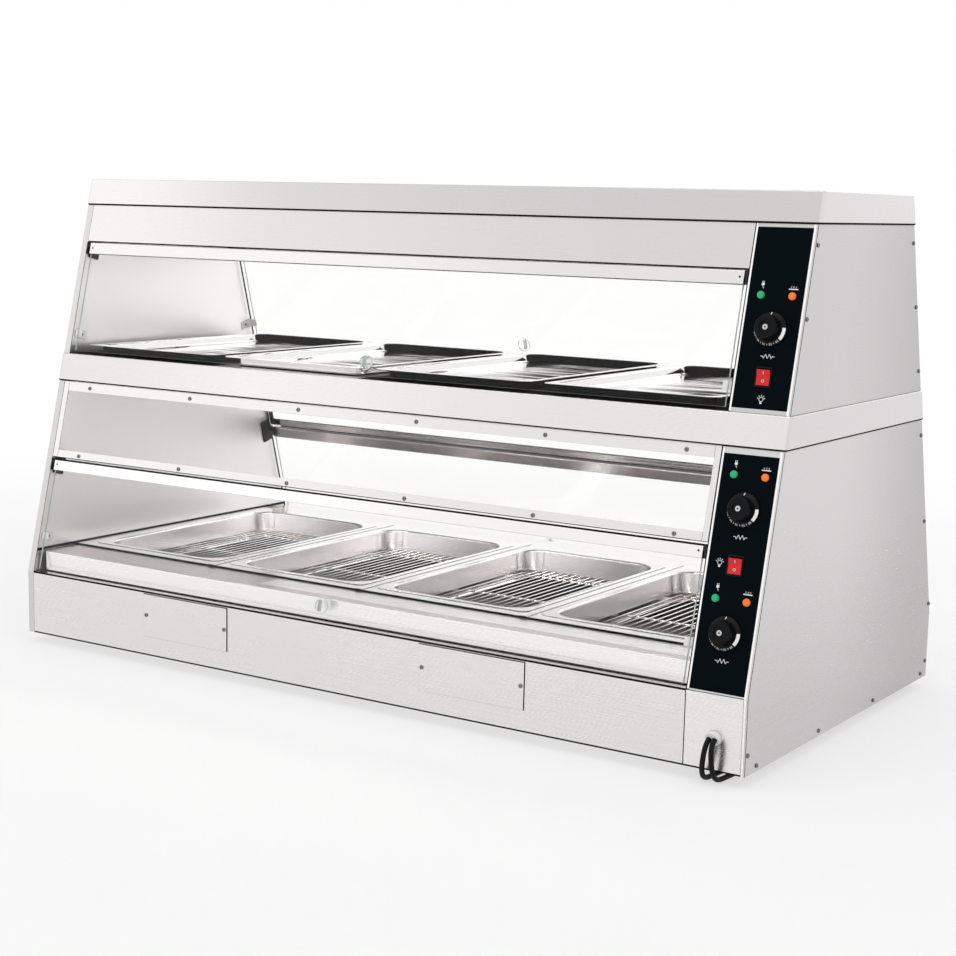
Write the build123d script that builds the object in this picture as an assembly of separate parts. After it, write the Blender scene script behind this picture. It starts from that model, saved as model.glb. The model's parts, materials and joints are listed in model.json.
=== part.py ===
# Two-tier heated display case with glass flaps at the front and the back.
# X runs along the width, -Y is the customers' side, Z is up.
# The origin is on the table under the middle of the base.
import math
import os

from build123d import *

# Overall size
case_width = 1560
case_depth = 794
foot_height = 20
base_top = 143
shelf_bottom = 515
shelf_top = 568
lid_bottom = 860
lid_top = 911
front_slope = 0.2456
rear_slope = 0.2833

# Sheet metal
sheet = 1.2
panel_sheet = 1.5
side_thickness = 15.6
fold_radius = 1.2
flange_width = 7
seam = 0.5
band_proud = 3
band_corner = 7
band_fold = 2
band_lip = 22

# Base and feet
foot_r = 19
foot_chamfer = 3
foot_xs = (-640, 0, 640)
foot_ys = (-300, 300)
cover_bottom = 57
cover_top = 139
cover_spans = ((-469, -262), (167, 380))
cover_lap = 13
cover_edge = 0.5
outlet_return = 12

# Control box at the right end
wall_x = 674
wall_flange = 5
wall_inset = 2.5
wall_fold = 5
front_panel_short = 1
upper_panel = (575.5, 853.5)
lower_panel = (146, 504.5)
panel_thickness = 2
panel_gap = 0.2

# Heating elements and lamp tubes
element_r = 4
element_hole_r = 6
element_z = 78
element_leg_gap = 120
element_centres = (-150, 150)
element_left_x = -690
element_right_x = 700
shelf_element_gap = 150
shelf_element_drop = 14
tube_r = 8
tube_length = 1180
tube_x = -40
tube_rise = 14
lower_tube_y = -210
upper_tube_y = -130
holder_xs = (-640, 560)
holder_half_x = 12
holder_half_y = 11
holder_drop = 10

# Deck and pans, GN 1/1
deck_top = 185.5
deck_margin = 26.5
deck_skirt = 26
deck_end_gap = 2
pan_width = 325
pan_length = 530
pan_depth = 64
pan_pitch = 351.5
pan_first_x = -573
pan_y = 7.5
pan_bearing = 9
pan_lift_gap = 0.2
pan_wall = 1
rim_thickness = 1.2
rim_width = 12.5
rim_corner = 17
bar_spine = 14
bar_cap = 1.5
bar_hook = 8
bar_hook_sheet = 2.5
ledge_front_y = -375.5
ledge_rear_y = 373.2
ledge_gap = 4
ledge_left_gap = 15
ledge_right_gap = 4
ledge_drop = 18
ledge_step = 3

# Upper trays
tray_depth = 16
tray_y = -8

# Wire racks
rack_width = 272
rack_length = 486
rack_corner = 22
rack_leg = 16
rack_leg_x = 100
wire_d = 3
rack_bar_d = 5
rack_bar_inset = 25
weld_depth = 0.7
wire_count = 17
rack_bars = 3

# Flaps: hinge height, bottom of the glass, place of the knob and height of the stops
flaps = {
    "lower_front_flap": {"side": "front", "pivot_z": 357, "bottom": 150, "knob": (-49, 172.5), "stop_z": 214},
    "lower_rear_flap": {"side": "rear", "pivot_z": 363, "bottom": 150, "knob": (-49, 172.5), "stop_z": 214},
    "upper_front_flap": {"side": "front", "pivot_z": 779.5, "bottom": 575, "knob": (-36, 597), "stop_z": 609},
    "upper_rear_flap": {"side": "rear", "pivot_z": 779.5, "bottom": 575, "knob": (-50, 600), "stop_z": 609},
}
flap_left = -754
flap_right = 668
glass = 5
glass_back = -6.2
glass_end = 1
rail_up = 7
rail_down = 15.8
rail_front = 1.5
rail_back = -8.5
rail_round = 3
rail_grip = 10
knob_r = 13.5
knob_disc = 4
knob_edge = 1.5
knob_height = 11
blade_width = 4
blade_end = 1.9
blade_edge = 1.2

# Hinge brackets and flap stops
pivot_w = -3.5
pin_r = 3
pin_clearance = 0.05
pin_length = 12
bore_relief = 2
bracket_sheet = 3
bracket_height = 46
bracket_depth = 26
bracket_rise = 2
bracket_inset = 8
shoulder_r = 5
shoulder_gap = 0.4
stop_sheet = 2
stop_height = 15
stop_depth = 30
stop_ear = 18
stop_gap = 0.4

# Fixed window above the lower flaps
strip_clearance = 9.6
top_strip = 18.5
low_strip = 15
left_strip = 12.5
right_strip = 10.5
back_strip_end = 34
pane_inset = 2
fascia_return = 12
fascia_return_end = 5

# Controls on the sloping panels
lamp_green_x = 701
lamp_amber_x = 754
dial_x = 726
rocker_x = 726
upper_lamp_z = 749
upper_dial_z = 697
upper_rocker_z = 624
lower_lamp_z = (473.5, 285)
lower_dial_z = (421.5, 234)
lower_rocker_z = 337
panel_hole_r = 5
panel_hole_depth = 12

# Thermostat dial
dial_r = 27
dial_foot = 2.2
dial_height = 23.5
skirt_edge = 1.5
skirt_rise = 4
skirt_slope = 52
grip_r = 19.5
grip_draft = 3
grip_round = 2
flutes = 24
flute_r = 1.6
flute_out = 0.6
hub_r = 10
hub_sink = 1.5
cap_r = 4.5
cap_height = 1
cap_round = 0.6
bore_top = 21

# Thermostat body behind the panel
thermostat_size = 44
thermostat_front = -4
thermostat_back = -36
thermostat_corner = 4
shaft_back = -7
shaft_tip = 19

# Rocker switch
rocker_w = 22
rocker_h = 24.6
rocker_rise = 4
rocker_dip = 2
rocker_depth = 6
rocker_draft = 1.5
rocker_pivot_w = -4
rocker_tilt = 7
rocker_side_gap = 0.4
rocker_end_gap = 1.6
housing_side = 1.5
housing_end = 3
housing_depth = 20
housing_play = 0.1
pocket_depth = 10
bezel = 1
bezel_height = 2

# Pilot lamp
lens_r = 6.2
lens_height = 4
lens_round = 2.5
stem_r = 4.8
stem_length = 22

# Terminal block on the floor of the control box
terminal_x = 726
terminal_y = -60
terminal_size = (52, 40, 22)
terminal_pitch = 16
terminal_hole_r = 4
terminal_hole_depth = 8

# Screws
head_r = 3.6
head_height = 2
head_round = 1.2
cross_length = 4
cross_width = 0.9
cross_depth = 0.7
strip_screw_first = -694
strip_screw_pitch = 261.5
strip_screws = 6
top_strip_screw = 11
low_strip_screw = 6.5
cover_screw = 7
side_screw = 8
side_bottom_screw = 9
side_bottom_ys = (-355, -112, 130, 368)
side_front_zs = (828, 715)
side_rear_zs = (829, 718, 604, 486, 323)
side_base_rear_zs = (160, 50)
side_base_front_z = 53

# Cords and their outlet
cord_d = 8.5
cord_bend = 0.45
coil_r = 47
coil_slack = 1
coil_height = 28
outlet_x = 726
outlet_z = 73
outlet_r = 9.2
neck_r = 9
neck_length = 8
neck_out = 1
gland_r = 12
gland_length = 20
gland_mouth_y = -405
gland_tilt = 30
gland_edge = 1
plug_neck_r = 6.2
plug_neck = 20
plug_neck_flare = 12
plug_r = 18.3
plug_length = 36
plug_round = 3
plug_pin_r = 2.4
plug_pin = 19
plug_pin_x = 9.5

# Cord routes, from the outlet to the coil, and from the coil to the plug
left_route = [
    (721.2, -405.0, 73.0), (721.2, -412.794, 68.5), (720.0, -418.0, 56.0), (717.6, -417.2, 41.0),
    (715.0, -413.6, 26.0), (713.0, -405.6, 12.4), (712.4, -391.0, 5.4), (712.9, -371.5, 4.3),
    (715.2, -341.0, 4.25), (720.4, -288.0, 4.25), (728.0, -205.0, 4.25), (729.0, -95.0, 4.25),
    (723.0, 20.0, 4.25), (718.0, 135.0, 4.25), (721.0, 245.0, 4.25), (722.0, 330.0, 4.25),
    (703.0, 392.0, 4.25), (655.0, 418.0, 4.25), (590.0, 425.5, 4.25), (524.0, 423.4, 4.25),
]
right_route = [
    (730.8, -405.0, 73.0), (730.8, -412.794, 68.5), (731.6, -418.0, 56.0), (732.0, -417.0, 41.0),
    (732.4, -413.2, 26.0), (732.8, -405.2, 12.4), (733.2, -391.0, 5.4), (734.0, -371.5, 4.3),
    (736.0, -341.0, 4.25), (740.2, -288.0, 4.25), (746.0, -205.0, 4.25), (747.0, -95.0, 4.25),
    (741.0, 20.0, 4.25), (736.0, 135.0, 4.25), (738.0, 245.0, 4.25), (740.0, 335.0, 4.25),
    (733.0, 405.0, 4.25), (719.5, 452.0, 4.25), (714.6, 488.0, 4.25),
]
left_coil = (520, 470)
right_coil = (668, 492)
left_tail = [(524.0, 423.0, 21.2), (497.0, 422.6, 21.0), (470.0, 423.6, 18.5), (446.0, 424.0, 18.5)]
right_tail = [(671.0, 539.0, 23.2), (645.0, 539.4, 22.8), (618.0, 538.4, 18.5), (595.0, 538.0, 18.5)]

# Worked out from the values above
half_width = case_width / 2
front_y = -case_depth / 2
rear_y = case_depth / 2
left_x = -half_width + side_thickness
panel_left = wall_x + wall_flange + panel_gap
panel_right = half_width - flange_width
lean = {"front": math.atan(front_slope), "rear": math.atan(rear_slope)}
sign = {"front": 1, "rear": -1}
upwards = (Align.CENTER, Align.CENTER, Align.MIN)


def slope_plane(side):
    # Sloping face above the base: local X along the case, local Y up the slope, Z outwards.
    a = lean[side]
    s = sign[side]
    origin = (0, front_y if side == "front" else rear_y, base_top)
    return Plane(origin=origin, x_dir=(s, 0, 0), z_dir=(0, -s * math.cos(a), math.sin(a)))


def up_slope(side, z):
    return (z - base_top) / math.cos(lean[side])


def face_y(side, z):
    run = (z - base_top) * math.tan(lean[side])
    return front_y + run if side == "front" else rear_y - run


def block(x0, x1, y0, y1, z0, z1):
    return Pos((x0 + x1) / 2, (y0 + y1) / 2, (z0 + z1) / 2) * Box(x1 - x0, y1 - y0, z1 - z0)


def slab(side, x0, x1, z0, z1, w0, w1):
    # Flat piece lying on the sloping face between two heights, w0 to w1 out from the face.
    v0 = up_slope(side, z0)
    v1 = up_slope(side, z1)
    place = Pos(sign[side] * (x0 + x1) / 2, (v0 + v1) / 2, (w0 + w1) / 2)
    return slope_plane(side) * place * Box(x1 - x0, v1 - v0, w1 - w0)


def on_panel(x, z, shape):
    # A control drawn about its own axis, set on the front sloping face with Z outwards.
    return slope_plane("front") * Pos(x, up_slope("front", z), 0) * shape


def prism(points, x0, x1):
    return extrude(Plane.YZ.offset(x0) * make_face(Polyline(*points, close=True)), amount=x1 - x0)


def side_outline(z0, z1, inset=0):
    # Side view of the case between two heights, with its front and back edges moved in.
    points = []
    if z0 < base_top:
        points += [(rear_y - inset, z0), (front_y + inset, z0), (front_y + inset, base_top)]
    else:
        points += [(face_y("rear", z0) - inset, z0), (face_y("front", z0) + inset, z0)]
    points += [(face_y("front", z1) + inset, z1), (face_y("rear", z1) - inset, z1)]
    if z0 < base_top:
        points += [(rear_y - inset, base_top)]
    return points


def front_edge(z0, z1):
    # Front edge of the side view, from bottom to top.
    if z0 < base_top < z1:
        return [(front_y, z0), (front_y, base_top), (face_y("front", z1), z1)]
    if z0 < base_top:
        return [(front_y, z0), (front_y, z1)]
    return [(face_y("front", z0), z0), (face_y("front", z1), z1)]


def rising_edges(shape):
    return shape.edges().filter_by(lambda e: abs(e.tangent_at(0.5).Z) > 0.5)


def front_fold(shape):
    # Long top edge of a sheet folded back from its front face.
    return shape.edges().filter_by(Axis.X).group_by(Axis.Z)[-1].sort_by(Axis.Y)[:1]


def hollow_side(x0, x1, z0, z1):
    # Folded double skin, open along its bottom edge.
    skin = prism(side_outline(z0, z1), x0, x1)
    skin = fillet(rising_edges(skin), fold_radius)
    cavity = prism(side_outline(z0, z1 - sheet, sheet), x0 + sheet, x1 - sheet)
    return skin - cavity


def front_cut(z0, z1, x1):
    # Room for a panel that lies in the front face of the control box.
    before = [(y - 3 * sheet, z) for y, z in front_edge(z0, z1)]
    behind = [(y + 2 * sheet, z) for y, z in reversed(front_edge(z0, z1))]
    return prism(before + behind, wall_x, x1)


def right_side(z0, z1, floor, panel):
    # Outer skin of the control box with its back, top, bottom and a narrow frame round the panel.
    skin = prism(side_outline(z0, z1), wall_x + sheet, half_width)
    skin = fillet(rising_edges(skin).filter_by(lambda e: e.center().X > half_width - 1), fold_radius)
    skin -= prism(side_outline(z0 + floor, z1 - sheet, sheet), wall_x, half_width - sheet)
    skin -= front_cut(z0, z1, panel_left)
    return skin - front_cut(panel[0] - seam, panel[1] + seam, panel_right)


def band_box(z0, z1):
    # Shallow folded box with a flat top and a turned-in bottom flange, proud of the sides.
    outer_x = half_width + band_proud
    shell = prism(side_outline(z0, z1, -band_proud), -outer_x, outer_x)
    shell = fillet(rising_edges(shell), band_corner)
    by_height = shell.edges().group_by(Axis.Z)
    shell = fillet(by_height[0] + by_height[-1], band_fold)
    inside = prism(
        side_outline(z0 + panel_sheet, z1 - panel_sheet, panel_sheet - band_proud),
        panel_sheet - outer_x,
        outer_x - panel_sheet,
    )
    inside = fillet(rising_edges(inside), band_corner - panel_sheet)
    mouth = prism(
        side_outline(z0 - panel_sheet, z0 + 2 * panel_sheet, band_lip),
        band_lip - outer_x,
        outer_x - band_lip,
    )
    return shell - inside - mouth


def make_base():
    tray = block(left_x, wall_x, front_y + panel_sheet, rear_y, foot_height, foot_height + panel_sheet)
    tray += block(left_x, wall_x, rear_y - panel_sheet, rear_y, foot_height, base_top)
    tray += block(left_x, wall_x, ledge_rear_y + seam, rear_y, base_top - panel_sheet, base_top)

    panel_end = wall_x - front_panel_short
    panel = block(left_x, panel_end, front_y, front_y + panel_sheet, foot_height, base_top)
    panel += block(left_x, panel_end, front_y, ledge_front_y - seam, base_top - panel_sheet, base_top)
    panel = fillet(front_fold(panel), band_fold)
    covers = []
    for left, right in cover_spans:
        panel -= block(left + cover_lap, right - cover_lap, front_y - sheet, front_y + 2 * panel_sheet,
                       cover_bottom + cover_lap, cover_top - cover_lap)
        cover = block(left, right, front_y - sheet, front_y, cover_bottom, cover_top)
        covers.append(fillet(cover.faces().sort_by(Axis.Y)[0].edges(), cover_edge))

    left = panel_end + seam
    right = panel_right - seam
    outlet = block(left, right, front_y, front_y + panel_sheet, foot_height, base_top)
    outlet += block(wall_x + sheet + seam, right, front_y, front_y + outlet_return,
                    base_top - panel_sheet, base_top)
    outlet = fillet(front_fold(outlet), band_fold)
    outlet -= Pos(outlet_x, front_y, outlet_z) * Rot(90, 0, 0) * Cylinder(outlet_r, 4 * panel_sheet)
    feet = []
    for x in foot_xs:
        for y in foot_ys:
            foot = Pos(x, y, 0) * Cylinder(foot_r, foot_height, align=upwards)
            feet.append(chamfer(foot.edges().group_by(Axis.Z)[0], foot_chamfer))
    return {
        "base_tray": tray,
        "base_front_panel": panel,
        "access_covers": covers,
        "cord_outlet_cover": outlet,
        "feet": feet,
    }


def make_sides():
    walls = []
    for z0, z1 in ((foot_height + sheet, shelf_bottom), (shelf_top, lid_bottom)):
        wall = prism(side_outline(z0, z1, wall_inset), wall_x, wall_x + sheet)
        flange_bottom = max(z0, base_top) + sheet
        wall += slab("front", wall_x, wall_x + wall_flange, flange_bottom, z1, -sheet, 0)
        wall += slab("front", wall_x, wall_x + sheet, flange_bottom, z1, -wall_fold, -sheet)
        walls.append(wall)
    for centre in element_centres:
        for y in (centre - element_leg_gap / 2, centre + element_leg_gap / 2):
            walls[0] -= Pos(wall_x, y, element_z) * Rot(0, 90, 0) * Cylinder(element_hole_r, 4 * sheet)
    lower_right = right_side(foot_height, shelf_bottom, sheet, lower_panel)
    return {
        "lower_left_side": hollow_side(-half_width, left_x, foot_height, shelf_bottom),
        "upper_left_side": hollow_side(-half_width, left_x, shelf_top, lid_bottom),
        "lower_right_side": lower_right - front_cut(foot_height, base_top, panel_right),
        "upper_right_side": right_side(shelf_top, lid_bottom, 0, upper_panel),
        "control_box_walls": walls,
    }


def hairpin(y, z, gap):
    # Tubular element: two straight legs along X joined by a half turn at the left end.
    bend = gap / 2
    leg = Line((element_right_x, y - bend, z), (element_left_x + bend, y - bend, z))
    turn = RadiusArc(leg @ 1, (element_left_x + bend, y + bend, z), bend)
    back = Line(turn @ 1, (element_right_x, y + bend, z))
    return sweep(Plane(origin=leg @ 0, z_dir=leg % 0) * Circle(element_r), path=leg + turn + back)


def lamp(y, z, ceiling):
    # Lamp tube along X, carried from the sheet above by a holder at each end.
    tube = Pos(tube_x, y, z) * Rot(0, 90, 0) * Cylinder(tube_r, tube_length)
    for x in holder_xs:
        tube += block(x - holder_half_x, x + holder_half_x, y - holder_half_y, y + holder_half_y,
                      z - holder_drop, ceiling)
    return tube


def make_upper():
    fascias = []
    for side in ("front", "rear"):
        bottom = flaps[f"upper_{side}_flap"]["pivot_z"] + strip_clearance
        fascia = slab(side, left_x, wall_x, bottom, lid_bottom, -sheet, 0)
        fascia += slab(side, left_x + fascia_return_end, wall_x - fascia_return_end, bottom, bottom + sheet,
                       -fascia_return, -sheet)
        fascias.append(fascia)
    elements = [hairpin(y, element_z, element_leg_gap) for y in element_centres]
    elements.append(hairpin(0, shelf_top - shelf_element_drop, shelf_element_gap))
    lamps = [
        lamp(lower_tube_y, shelf_bottom + tube_rise, shelf_top - panel_sheet),
        lamp(upper_tube_y, lid_bottom + tube_rise, lid_top - panel_sheet),
    ]
    return {
        "mid_shelf": band_box(shelf_bottom, shelf_top),
        "lid": band_box(lid_bottom, lid_top),
        "upper_fascias": fascias,
        "heating_elements": elements,
        "lamps": lamps,
    }


def pan_x(i):
    return pan_first_x + i * pan_pitch


def level_loop(shape, z, inside):
    # Edges lying at one height: the loop round the mouth, or the outer edge of the rim.
    found = []
    for edge in shape.edges():
        box = edge.bounding_box()
        if abs(box.min.Z - z) < 0.01 and abs(box.max.Z - z) < 0.01:
            spot = edge.center()
            within = (abs(spot.X) < (pan_width - rim_width) / 2
                      and abs(spot.Y) < (pan_length - rim_width) / 2)
            if within == inside:
                found.append(edge)
    return found


def dish(depth, corner, taper, floor_fillet, rim_fillet):
    # Pressed dish with a flat rim; Z = 0 is the underside of the rim.
    width = pan_width - 2 * rim_width
    length = pan_length - 2 * rim_width
    outer = extrude(RectangleRounded(width, length, corner), amount=-depth, taper=taper)
    outer = fillet(outer.edges().group_by(Axis.Z)[0], floor_fillet)
    rim = extrude(RectangleRounded(pan_width, pan_length, rim_corner), amount=rim_thickness)
    body = fillet(level_loop(outer + rim, 0, True), rim_fillet - pan_wall)
    inner = extrude(
        RectangleRounded(width - 2 * pan_wall, length - 2 * pan_wall, corner - pan_wall),
        amount=pan_wall - depth - rim_thickness,
        taper=taper,
    )
    inner = fillet(inner.edges().group_by(Axis.Z)[0], floor_fillet - pan_wall)
    body -= Pos(0, 0, rim_thickness) * inner
    body = fillet(level_loop(body, rim_thickness, True), rim_fillet)
    return fillet(level_loop(body, rim_thickness, False), rim_thickness / 2)


def wire_rack():
    # Welded rack with cut corners: wires along Y on three cross bars, the end bars on short legs.
    bar_z = rack_leg + rack_bar_d / 2
    wire_z = rack_leg + rack_bar_d + wire_d / 2 - weld_depth
    rods = []
    for i in range(rack_bars):
        y = (i / (rack_bars - 1) - 0.5) * (rack_length - 2 * rack_bar_inset)
        rods.append(Pos(0, y, bar_z) * Rot(0, 90, 0) * Cylinder(rack_bar_d / 2, rack_width))
    for x in (-rack_leg_x, rack_leg_x):
        for y in (rack_bar_inset - rack_length / 2, rack_length / 2 - rack_bar_inset):
            rods.append(Pos(x, y, 0) * Cylinder(rack_bar_d / 2, bar_z, align=upwards))
    for i in range(wire_count):
        x = (i / (wire_count - 1) - 0.5) * (rack_width - 2 * wire_d)
        cut = max(0, rack_corner - rack_width / 2 + abs(x))
        rods.append(Pos(x, 0, wire_z) * Rot(90, 0, 0) * Cylinder(wire_d / 2, rack_length - 2 * cut))
    return rods[0].fuse(*rods[1:])


def make_deck():
    front = pan_y - pan_length / 2
    rear = pan_y + pan_length / 2
    left = left_x + deck_end_gap
    right = wall_x - deck_end_gap
    plate_front = front - deck_margin
    plate_rear = rear + deck_margin
    under = deck_top - sheet
    deck = block(left, right, plate_front, plate_rear, under, deck_top)
    deck -= block(pan_x(0) - pan_width / 2 + pan_bearing, pan_x(3) + pan_width / 2 - pan_bearing,
                  front + pan_bearing, rear - pan_bearing, under - sheet, deck_top + sheet)
    deck += block(left, right, plate_front, plate_front + sheet, under - deck_skirt, under)
    deck += block(left, right, plate_rear - sheet, plate_rear, under - deck_skirt, under)

    bars = []
    half = (pan_pitch - pan_width) / 2 + pan_bearing
    for i in range(3):
        x = pan_x(i) + pan_pitch / 2
        bar_left = x - bar_spine / 2
        bar_right = x + bar_spine / 2
        hook_front = plate_front - bar_hook_sheet
        hook_rear = plate_rear + bar_hook_sheet
        bar = block(x - half, x + half, front + pan_bearing, rear - pan_bearing, under, deck_top)
        bar += block(bar_left, bar_right, hook_front, hook_rear, deck_top, deck_top + bar_cap)
        bar += block(bar_left, bar_right, hook_front, plate_front, deck_top - bar_hook, deck_top)
        bar += block(bar_left, bar_right, plate_rear, hook_rear, deck_top - bar_hook, deck_top)
        bars.append(bar)

    left = left_x + ledge_left_gap
    right = wall_x - ledge_right_gap
    foot = base_top - ledge_drop
    ledge_top = deck_top - ledge_step
    ledge_under = ledge_top - sheet
    front_ledge = block(left, right, ledge_front_y, plate_front - ledge_gap, ledge_under, ledge_top)
    front_ledge += block(left, right, ledge_front_y, ledge_front_y + sheet, foot, ledge_under)
    front_ledge = fillet(front_fold(front_ledge), fold_radius)
    rear_ledge = block(left, right, plate_rear + ledge_gap, ledge_rear_y, ledge_under, ledge_top)
    rear_ledge += block(left, right, ledge_rear_y - sheet, ledge_rear_y, foot, ledge_under)

    nodes = {"pan_deck": deck, "divider_bars": bars, "deck_ledges": [front_ledge, rear_ledge]}
    pan = dish(pan_depth, corner=48, taper=5, floor_fillet=18, rim_fillet=5)
    tray = dish(tray_depth, corner=32, taper=12, floor_fillet=6, rim_fillet=4)
    rack = wire_rack()
    rim_z = deck_top + pan_lift_gap
    floor_z = rim_z - pan_depth + pan_wall + pan_lift_gap
    for i in range(4):
        nodes[f"pan_{i + 1}"] = Pos(pan_x(i), pan_y, rim_z) * pan
        nodes[f"rack_{i + 1}"] = Pos(pan_x(i), pan_y, floor_z) * rack
        nodes[f"tray_{i + 1}"] = Pos(pan_x(i), tray_y, shelf_top + tray_depth + pan_lift_gap) * tray
    return nodes


def finger_knob():
    # Clear round knob bonded to the pane, with an upright blade to pull on.
    disc = Cylinder(knob_r, knob_disc, align=upwards)
    disc = fillet(disc.edges().group_by(Axis.Z)[-1], knob_edge)
    blade = extrude(RectangleRounded(blade_width, 1.5 * knob_r, blade_end), amount=knob_height)
    return disc + fillet(blade.edges().group_by(Axis.Z)[-1], blade_edge)


def flap(side, pivot_z, bottom, knob):
    # Hinged flap: steel rail with a pin bore at each end, and the pane held in its slot.
    plane = slope_plane(side)
    s = sign[side]
    v = up_slope(side, pivot_z)
    middle = s * (flap_left + flap_right) / 2
    length = flap_right - flap_left
    rail = Pos(middle, v + (rail_up - rail_down) / 2, (rail_front + rail_back) / 2) * Box(
        length, rail_up + rail_down, rail_front - rail_back
    )
    rail = fillet(rail.edges().filter_by(Axis.X).group_by(Axis.Y)[-1], rail_round)
    pane_top = v - rail_down + rail_grip
    pane_bottom = up_slope(side, bottom)
    pane = Pos(middle, (pane_top + pane_bottom) / 2, glass_back + glass / 2) * Box(
        length - 2 * glass_end, pane_top - pane_bottom, glass
    )
    rail -= pane
    for end in (flap_left, flap_right):
        bore = Pos(s * end, v, pivot_w) * Rot(0, 90, 0)
        rail -= bore * Cylinder(pin_r + pin_clearance, 2 * (pin_length + bore_relief))
    knob_place = Pos(s * knob[0], up_slope(side, knob[1]), glass_back + glass)
    return plane * rail, [plane * pane, plane * knob_place * finger_knob()]


def hinge_bracket(side, pivot_z, wall, inwards):
    # Plate on the side wall with the fixed pin that the rail turns on.
    s = sign[side]
    v = up_slope(side, pivot_z)
    middle = s * (wall + inwards * bracket_sheet / 2)
    plate = Pos(middle, v + bracket_rise, -bracket_depth / 2 - bracket_inset) * Box(
        bracket_sheet, bracket_height, bracket_depth
    )
    ear = Pos(middle, v + (rail_up - rail_down) / 2, (rail_front + rail_back) / 2) * Box(
        bracket_sheet, rail_up + rail_down, rail_front - rail_back
    )
    gap = abs((flap_left if inwards > 0 else flap_right) - wall)
    bracket = plate + ear
    for radius, reach in ((pin_r, gap + pin_length), (shoulder_r, gap - shoulder_gap)):
        place = Pos(s * (wall + inwards * reach / 2), v, pivot_w) * Rot(0, 90, 0)
        bracket += place * Cylinder(radius, reach)
    return slope_plane(side) * bracket


def flap_stop(side, wall, inwards, z):
    # Small angle on the wall: the pane's corner rests against its turned ear.
    s = sign[side]
    ear_w = glass_back - stop_gap
    v = up_slope(side, z)
    plate = Pos(s * (wall + inwards * stop_sheet / 2), v, ear_w - stop_depth / 2) * Box(
        stop_sheet, stop_height, stop_depth
    )
    ear = Pos(s * (wall + inwards * stop_ear / 2), v, ear_w - stop_sheet / 2) * Box(
        stop_ear, stop_height, stop_sheet
    )
    return slope_plane(side) * (plate + ear)


def window(side):
    # Fixed pane above a lower flap, and the strips that hold it.
    low = flaps[f"lower_{side}_flap"]["pivot_z"] + strip_clearance
    high = shelf_bottom - seam
    left = left_x + seam
    right = wall_x - seam
    strip_left = left + left_strip + seam
    strip_right = right - right_strip - seam
    front = glass_back + glass
    pane = slab(side, left + pane_inset, right - pane_inset, low + pane_inset, high - pane_inset,
                glass_back, front)
    strips = [
        slab(side, strip_left, strip_right, high - top_strip, high, front, 0),
        slab(side, strip_left, strip_right, low, low + low_strip, front, 0),
        slab(side, left + back_strip_end, right - back_strip_end, low, low + low_strip,
             glass_back - sheet, glass_back),
        slab(side, left, left + left_strip, low, high, front, 0),
        slab(side, right - right_strip, right, low, high, front, 0),
    ]
    return pane, strips


def make_glazing():
    nodes = {"hinge_brackets": [], "flap_stops": [], "window_panes": [], "window_strips": []}
    for name, f in flaps.items():
        rail, pane = flap(f["side"], f["pivot_z"], f["bottom"], f["knob"])
        nodes[f"{name}_rail"] = rail
        nodes[f"{name}_glass"] = pane
        for wall, inwards in ((left_x, 1), (wall_x, -1)):
            nodes["hinge_brackets"].append(hinge_bracket(f["side"], f["pivot_z"], wall, inwards))
            nodes["flap_stops"].append(flap_stop(f["side"], wall, inwards, f["stop_z"]))
    for side in ("front", "rear"):
        pane, strips = window(side)
        nodes["window_panes"].append(pane)
        nodes["window_strips"] += strips
    return nodes


def rocker():
    # Rocker with a dished face, tilted about its pivot to one of its two positions.
    half = rocker_h / 2
    face = [(-half, rocker_rise), (0, rocker_dip), (half, rocker_rise),
            (half - rocker_draft, -rocker_depth), (rocker_draft - half, -rocker_depth)]
    body = extrude(Plane.YZ.offset(-rocker_w / 2) * make_face(Polyline(*face, close=True)), amount=rocker_w)
    return Pos(0, 0, rocker_pivot_w) * Rot(rocker_tilt, 0, 0) * Pos(0, 0, -rocker_pivot_w) * body


def rocker_housing():
    x = rocker_w / 2 + housing_side
    y = rocker_h / 2 + housing_end
    pocket_x = rocker_w / 2 + rocker_side_gap
    pocket_y = rocker_h / 2 + rocker_end_gap
    frame = block(-x - bezel, x + bezel, -y - bezel, y + bezel, 0, bezel_height)
    body = block(-x, x, -y, y, -housing_depth, 0)
    return frame + body - block(-pocket_x, pocket_x, -pocket_y, pocket_y, -pocket_depth, 2 * bezel_height)


def thermostat():
    half = thermostat_size / 2
    body = block(-half, half, -half, half, thermostat_back, thermostat_front)
    body = fillet(body.edges().filter_by(Axis.Z), thermostat_corner)
    return body + Pos(0, 0, shaft_back) * Cylinder(pin_r, shaft_tip - shaft_back, align=upwards)


def dial():
    # Thermostat knob: sloping skirt for the scale, fluted grip with a sunk face, blind bore for the shaft.
    grip_foot = dial_foot + skirt_edge
    knob = extrude(Pos(0, 0, dial_foot) * Circle(dial_r), amount=skirt_edge)
    knob += extrude(Pos(0, 0, grip_foot) * Circle(dial_r), amount=skirt_rise, taper=skirt_slope)
    grip = extrude(Pos(0, 0, grip_foot) * Circle(grip_r), amount=dial_height - grip_foot, taper=grip_draft)
    knob += fillet(grip.edges().group_by(Axis.Z)[-1], grip_round)
    flute = Pos(grip_r + flute_out, 0, grip_foot + skirt_rise) * Cylinder(flute_r, dial_height, align=upwards)
    for i in range(flutes):
        knob -= Rot(0, 0, i * 360 / flutes) * flute
    hub_z = dial_height - hub_sink
    knob -= Pos(0, 0, hub_z) * Cylinder(hub_r, hub_sink, align=upwards)
    cap = Pos(0, 0, hub_z) * Cylinder(cap_r, cap_height, align=upwards)
    knob += fillet(cap.edges().group_by(Axis.Z)[-1], cap_round)
    return knob - Cylinder(pin_r + pin_clearance, bore_top, align=upwards)


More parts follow.
